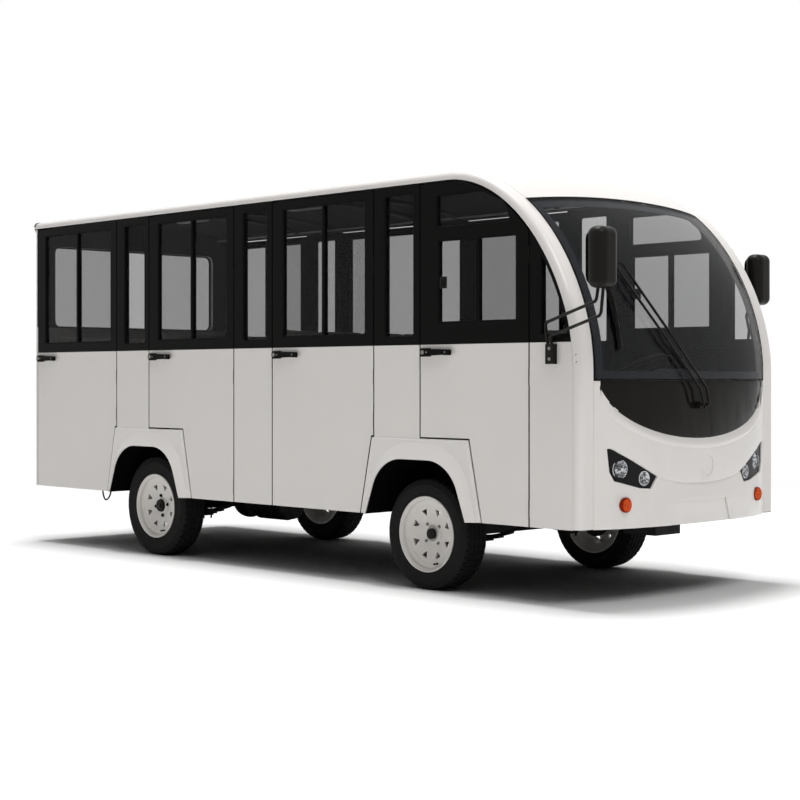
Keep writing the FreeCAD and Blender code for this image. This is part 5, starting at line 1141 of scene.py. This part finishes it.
def swell(piece):
    """Remeshes the piece, blows it up by cloth pressure, caps how far a point moves and sews the channels."""
    remesh = piece.modifiers.new("remesh", "REMESH")
    remesh.mode = "VOXEL"
    remesh.voxel_size = VOXEL
    apply_modifiers(piece)
    start = [vert.co.copy() for vert in piece.data.vertices]
    cloth = piece.modifiers.new("cloth", "CLOTH")
    cloth.settings.use_pressure = True
    cloth.settings.uniform_pressure_force = PRESSURE
    cloth.settings.effector_weights.gravity = 0.0
    for number in range(1, CLOTH_FRAMES + 1):
        SCENE.frame_set(number)
    apply_modifiers(piece)
    SCENE.frame_set(1)
    for vert, first in zip(piece.data.vertices, start):
        move = vert.co - first
        vert.co = first + move.normalized() * min(move.length, SWELL_CAP)
    smooth = piece.modifiers.new("smooth", "SUBSURF")
    smooth.levels = smooth.render_levels = 1
    apply_modifiers(piece)
    for vert in piece.data.vertices:
        near = min(abs(vert.co.y - channel) for channel in CHANNELS)
        vert.co -= vert.normal * CHANNEL_DEPTH * math.exp(-(near / CHANNEL_HALF) ** 2)
    piece.data.shade_smooth()


print("swelling over", CLOTH_FRAMES, "frames")

# %% [markdown]
# All four benches are alike, so one pad and one backrest are swollen and then copied to the other benches.


def upholster(mesh, name, rows, pitch):
    """Swells one piece of the first bench and repeats it on every bench."""
    first = bpy.data.objects.new(f"{name}_1", mesh)
    SCENE.collection.objects.link(first)
    swell(first)
    first.data.materials.clear()
    first.data.materials.append(seat_vinyl)
    pieces = [first]
    for row in range(1, rows):
        copied = bpy.data.objects.new(f"{name}_{row + 1}", first.data.copy())
        copied.data.transform(Matrix.Translation((row * pitch, 0, 0)))
        SCENE.collection.objects.link(copied)
        pieces.append(copied)
    for piece in pieces:
        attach(piece, "body")
        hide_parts("seat_cushions")
    return pieces


first_row, second_row = (min(vert.co.x for vert in mesh.vertices) for mesh in bench_parts[:3:2])
ROW_PITCH = second_row - first_row
cushions = (upholster(bench_parts[0], "backrest", ROWS, ROW_PITCH)
            + upholster(bench_parts[1], "seat_pad", ROWS, ROW_PITCH))
print(ROWS, "benches,", sum(len(cushion.data.polygons) for cushion in cushions), "faces")

# %% [markdown]
# The dashboard gets an instrument hood with three round gauges and a row of rocker switches, all moulded
# ABS.  The gauges have a ring and tick marks but no lettering.

# %% Dashboard
DASH = surface("dashboard")
CABIN_HIGH = 1600
WHEEL_Y = 330
CROWN_X = 1760
HOOD_LINE = ((-170, -12, 10), (170, -12, 10), (158, 70, 46), (-158, 70, 46))
HOOD_SECTION = ((0, -60), (0, 50), (2, 54), (7, 54), (9, 48), (12, 22))
GAUGES = ((-68, 29), (22, 29), (96, 17))     # place across and radius
TICKS, TICK_TURN = 11, 24
ROCKERS, ROCKER_X, ROCKER_Y, ROCKER_PITCH = 6, 1700, 60, 42


def dash_top(x, y):
    return DASH.ray_cast(Vector((x, y, CABIN_HIGH)), Vector((0, 0, -1)))[0].z


hood, gauges, rockers = (bmesh.new() for _ in range(3))
crown_z = dash_top(CROWN_X, WHEEL_Y)
aft = shifted(CROWN_X, WHEEL_Y, crown_z) @ REARWARDS @ rotated(-16, "X")
moulding(hood, soften(list(HOOD_LINE)), HOOD_SECTION, aft)
for middle, radius in GAUGES:
    dial = aft @ shifted(middle, 28, 22)
    turned(gauges, [(radius, -1), (radius, 4), (radius - 2, 5), (radius - 4, 1.2), (TIP, 1.0)], dial, 40)
    tick_line = oblong(radius - 9, radius - 5, -0.5, 0.5, 0.3)
    for tick in range(TICKS):
        plate(gauges, tick_line, 1.0, 1.8, dial @ rotated(-30 + TICK_TURN * tick, "Z"), 0.2)
    plate(gauges, oblong(-4, radius - 11, -0.8, 0.8, 0.6), 1.4, 3, dial @ rotated(140, "Z"), 0.3)
for number in range(ROCKERS):
    y = ROCKER_Y - ROCKER_PITCH * number
    seat = facing((ROCKER_X, y, dash_top(ROCKER_X, y)), (-0.35, 0, 1))
    plate(rockers, oblong(-15, 15, -11, 11, 3), -2, 2, seat)
    plate(rockers, oblong(-11, 11, -8, 8, 2), 1, 4.5, seat @ rotated(7, "Y"))
make("instrument_hood", hood, dash_abs)
make("gauges", gauges, opal_plastic)
make("rocker_switches", rockers, moulded_abs)
print("dashboard crown at", round(crown_z, 1))

# %% [markdown]
# The steering wheel's hub carries a soft round pad, and two stalks stand out from the column below it.  The
# pedals are plates with ribbed rubber faces on bent arms.

# %% Controls
COLUMN_TILT = math.radians(35)
COLUMN_WAY = Vector((-math.sin(COLUMN_TILT), 0, math.cos(COLUMN_TILT)))
HUB_MIDDLE = Vector((1516, WHEEL_Y, 1010))
HUB_PAD = ((46, -14), (50, 0), (47, 12), (36, 18), (18, 20), (TIP, 20))
STALK_DOWN = 70
STALK = ((0, 0, 0), (10, 60, 6), (4, 120, 14), (0, 150, 16))
PEDALS = ((262, 92), (392, 64))     # place across and height
PEDAL_RIBS = 4
pad, stalks, pedals = (bmesh.new() for _ in range(3))
turned(pad, HUB_PAD, facing(HUB_MIDDLE, COLUMN_WAY), 40)
for side in (-1, 1):
    root = HUB_MIDDLE - COLUMN_WAY * STALK_DOWN
    bar(stalks, [root + Vector((x, side * y, z)) for x, y, z in STALK], 6)
make("steering_hub_pad", pad, moulded_abs)
make("column_stalks", stalks, moulded_abs)
for y, tall in PEDALS:
    place = facing((1752, y, 536), (-0.8, 0, 0.6))
    plate(pedals, oblong(-32, 32, -tall / 2, tall / 2, 9), -5, 5, place)
    for rib in range(PEDAL_RIBS):
        at = (rib - 1.5) * tall / 5
        plate(pedals, oblong(-26, 26, at - 3, at + 3, 2), 4, 7, place, 0.8)
    bar(pedals, [(1756, y, 530), (1800, y, 490), (1830, y, 458)], 7)
make("pedals", pedals, seal_rubber)
print("pedals", len(PEDALS))

# %% [markdown]
# The roof shell is stiffened by pressed bows that follow its underside, and three oval lamps light the
# cabin.  Rays sent up from the cabin find the roof's inner face.

# %% Ceiling bows and lamps
ROOF = surface("roof")
BOW_X = [edge for number in DOORS[1:] for edge in (DOOR_REAR[number - 1], DOOR_FRONT[number])]
BOW_SECTION = ((-24, -1), (-20, 16), (-14, 20), (14, 20), (20, 16), (24, -1))
BOW_REACH, BOW_STEP = 630, 60
CABIN_LAMPS = (470, -620, -1700)


def ceiling(x, y):
    spot = ROOF.ray_cast(Vector((x, y, CABIN_HIGH)), Vector((0, 0, 1)))[0]
    return spot.z if spot else None


bows, cabin_lamps = bmesh.new(), bmesh.new()
for x in BOW_X:
    rows = [(y, ceiling(x, y)) for y in range(-BOW_REACH, BOW_REACH + 1, BOW_STEP)]
    skin(bows, [[Vector((x + shift, y, z - drop)) for shift, drop in BOW_SECTION] for y, z in rows if z])
for x in CABIN_LAMPS:
    lamp_place = shifted(x, 0, ceiling(x, 0) + 1) @ rotated(180, "X")
    plate(cabin_lamps, oblong(-150, 150, -45, 45, 44), 0, 22, lamp_place, 9)
make("roof_bows", bows, dash_abs)
make("cabin_lamps", cabin_lamps, opal_plastic)
print("roof bows", len(BOW_X), "cabin lamps", len(CABIN_LAMPS))

# %% [markdown]
# Below the floor the motor casting has cooling fins turned round its barrel and a ring of end bolts.  A
# lashing hook of round bar hangs under each rear end of the frame.

# %% Underbody details
MOTOR_Z = 280
MOTOR_END_X = -735
FIN = ((93, -3), (103, -1.4), (104, 0), (103, 1.4), (93, 3))
FINS, FIRST_FIN_X, FIN_PITCH = 11, -1000, 22
END_BOLTS, END_BOLT_CIRCLE = 8, 80
END_BOLT = ((6.5, -1), (6.5, 5), (5.4, 6))
HOOK_Y = -330
HOOK = ((-2205, 380), (-2200, 290), (-2172, 236), (-2130, 250), (-2100, 300), (-2090, 380))
fins, hooks = bmesh.new(), bmesh.new()
for number in range(FINS):
    fin_place = shifted(FIRST_FIN_X + FIN_PITCH * number, 0, MOTOR_Z) @ rotated(90, "Y")
    turned(fins, FIN, fin_place, 48, closed=True)
for number in range(END_BOLTS):
    turn = number * math.tau / END_BOLTS
    across = shifted(END_BOLT_CIRCLE * math.cos(turn), END_BOLT_CIRCLE * math.sin(turn), 0)
    turned(fins, END_BOLT, shifted(MOTOR_END_X, 0, MOTOR_Z) @ rotated(90, "Y") @ across, 6)
bar(hooks, [(x, HOOK_Y, z) for x, z in HOOK], 5)
make("motor_fins", fins, motor_casting)
pair("lashing_hook", hooks, chassis_paint)
print("fins", FINS, "end bolts", END_BOLTS)

# %% [markdown]
# The stage is a plain pale floor.  Far away it fades into the white background, and only the camera,
# reflections and glass see that glow.

# %% Floor
GROUND = 40.0
FADE_FROM, FADE_TO = 4.5, 9.0


def seen_directly(tree):
    """One where the camera, a reflection or glass looks, and nought for all other light."""
    seen = add_node(tree, "ShaderNodeLightPath").outputs
    either = add_node(tree, "ShaderNodeMath", LARGEST, i0=seen["Is Camera Ray"], i1=seen["Is Glossy Ray"])
    return add_node(tree, "ShaderNodeMath", LARGEST, i0=either, i1=seen["Is Transmission Ray"])


def floor_plane():
    build = bmesh.new()
    bmesh.ops.create_grid(build, x_segments=1, y_segments=1, size=GROUND)
    mesh = bpy.data.meshes.new("floor")
    build.to_mesh(mesh)
    build.free()
    plane = bpy.data.objects.new("floor", mesh)
    SCENE.collection.objects.link(plane)
    material, tree, shader = new_material("pale_floor", "FFFFFF", 0.6, Specular_IOR_Level=0.0)
    rays = seen_directly(tree)
    place = add_node(tree, "ShaderNodeTexCoord").outputs["Object"]
    away = add_node(tree, "ShaderNodeVectorMath", {"operation": "LENGTH"}, i0=place).outputs["Value"]
    fade = add_node(tree, "ShaderNodeMapRange", {"interpolation_type": "SMOOTHSTEP"}, Value=away,
                    i1=FADE_FROM, i2=FADE_TO, i3=0.0, i4=1.0)
    share = add_node(tree, "ShaderNodeMath", TIMES, i0=fade, i1=rays)
    glow = add_node(tree, "ShaderNodeEmission", Color=linear("FFFFFF"), Strength=1.0)
    mix = add_node(tree, "ShaderNodeMixShader", i0=share, i1=shader, i2=glow)
    tree.links.new(mix.outputs[0], tree.nodes["Material Output"].inputs["Surface"])
    mesh.materials.append(material)


floor_plane()
print("floor fades from", FADE_FROM, "to", FADE_TO, "m")

# %% [markdown]
# A broad lamp high overhead throws a soft shadow straight down, with its core under the vehicle.  A weaker
# lamp ahead keeps the nose brighter than the side.

# %% Lamps
KEY_POWER = 2300
FILL_POWER = 260


def area_lamp(name, place, target, size, power):
    data = bpy.data.lights.new(name, "AREA")
    data.shape = "DISK"
    data.size = size
    data.energy = power
    lamp = bpy.data.objects.new(name, data)
    lamp.location = place
    lamp.rotation_euler = (Vector(target) - Vector(place)).to_track_quat("-Z", "Y").to_euler()
    SCENE.collection.objects.link(lamp)


area_lamp("key", (-1.8, 0.3, 16.0), (0, 0, 0), 6.6, KEY_POWER)
area_lamp("front_fill", (7.0, -2.5, 8.0), (1.8, 0, 1.0), 4.0, FILL_POWER)
print("lamps: key", KEY_POWER, "fill", FILL_POWER)

# %% [markdown]
# The sky is brightest overhead and dark at the horizon, so that the sides model softly.  The camera,
# reflections and glass see plain white instead of it.

# %% Sky
SKY = 0.6
world = bpy.data.worlds.new("studio")
SCENE.world = world
world.use_nodes = True
sky = world.node_tree
sky.nodes.clear()
rays = seen_directly(sky)
way = add_node(sky, "ShaderNodeTexCoord").outputs["Generated"]
height = add_node(sky, "ShaderNodeSeparateXYZ", i0=way).outputs[2]
height = add_node(sky, "ShaderNodeMath", LARGEST, i0=height, i1=0.0)
dome = add_node(sky, "ShaderNodeMath", {"operation": "POWER"}, i0=height, i1=2.0)
dome = add_node(sky, "ShaderNodeMath", TIMES, i0=dome, i1=SKY)
soft = add_node(sky, "ShaderNodeBackground", Color=linear("F6F5F4"), Strength=dome)
white = add_node(sky, "ShaderNodeBackground", Color=linear("FFFFFF"), Strength=1.0)
mixed = add_node(sky, "ShaderNodeMixShader", i0=rays, i1=soft, i2=white)
add_node(sky, "ShaderNodeOutputWorld", Surface=mixed)
print("sky", SKY)
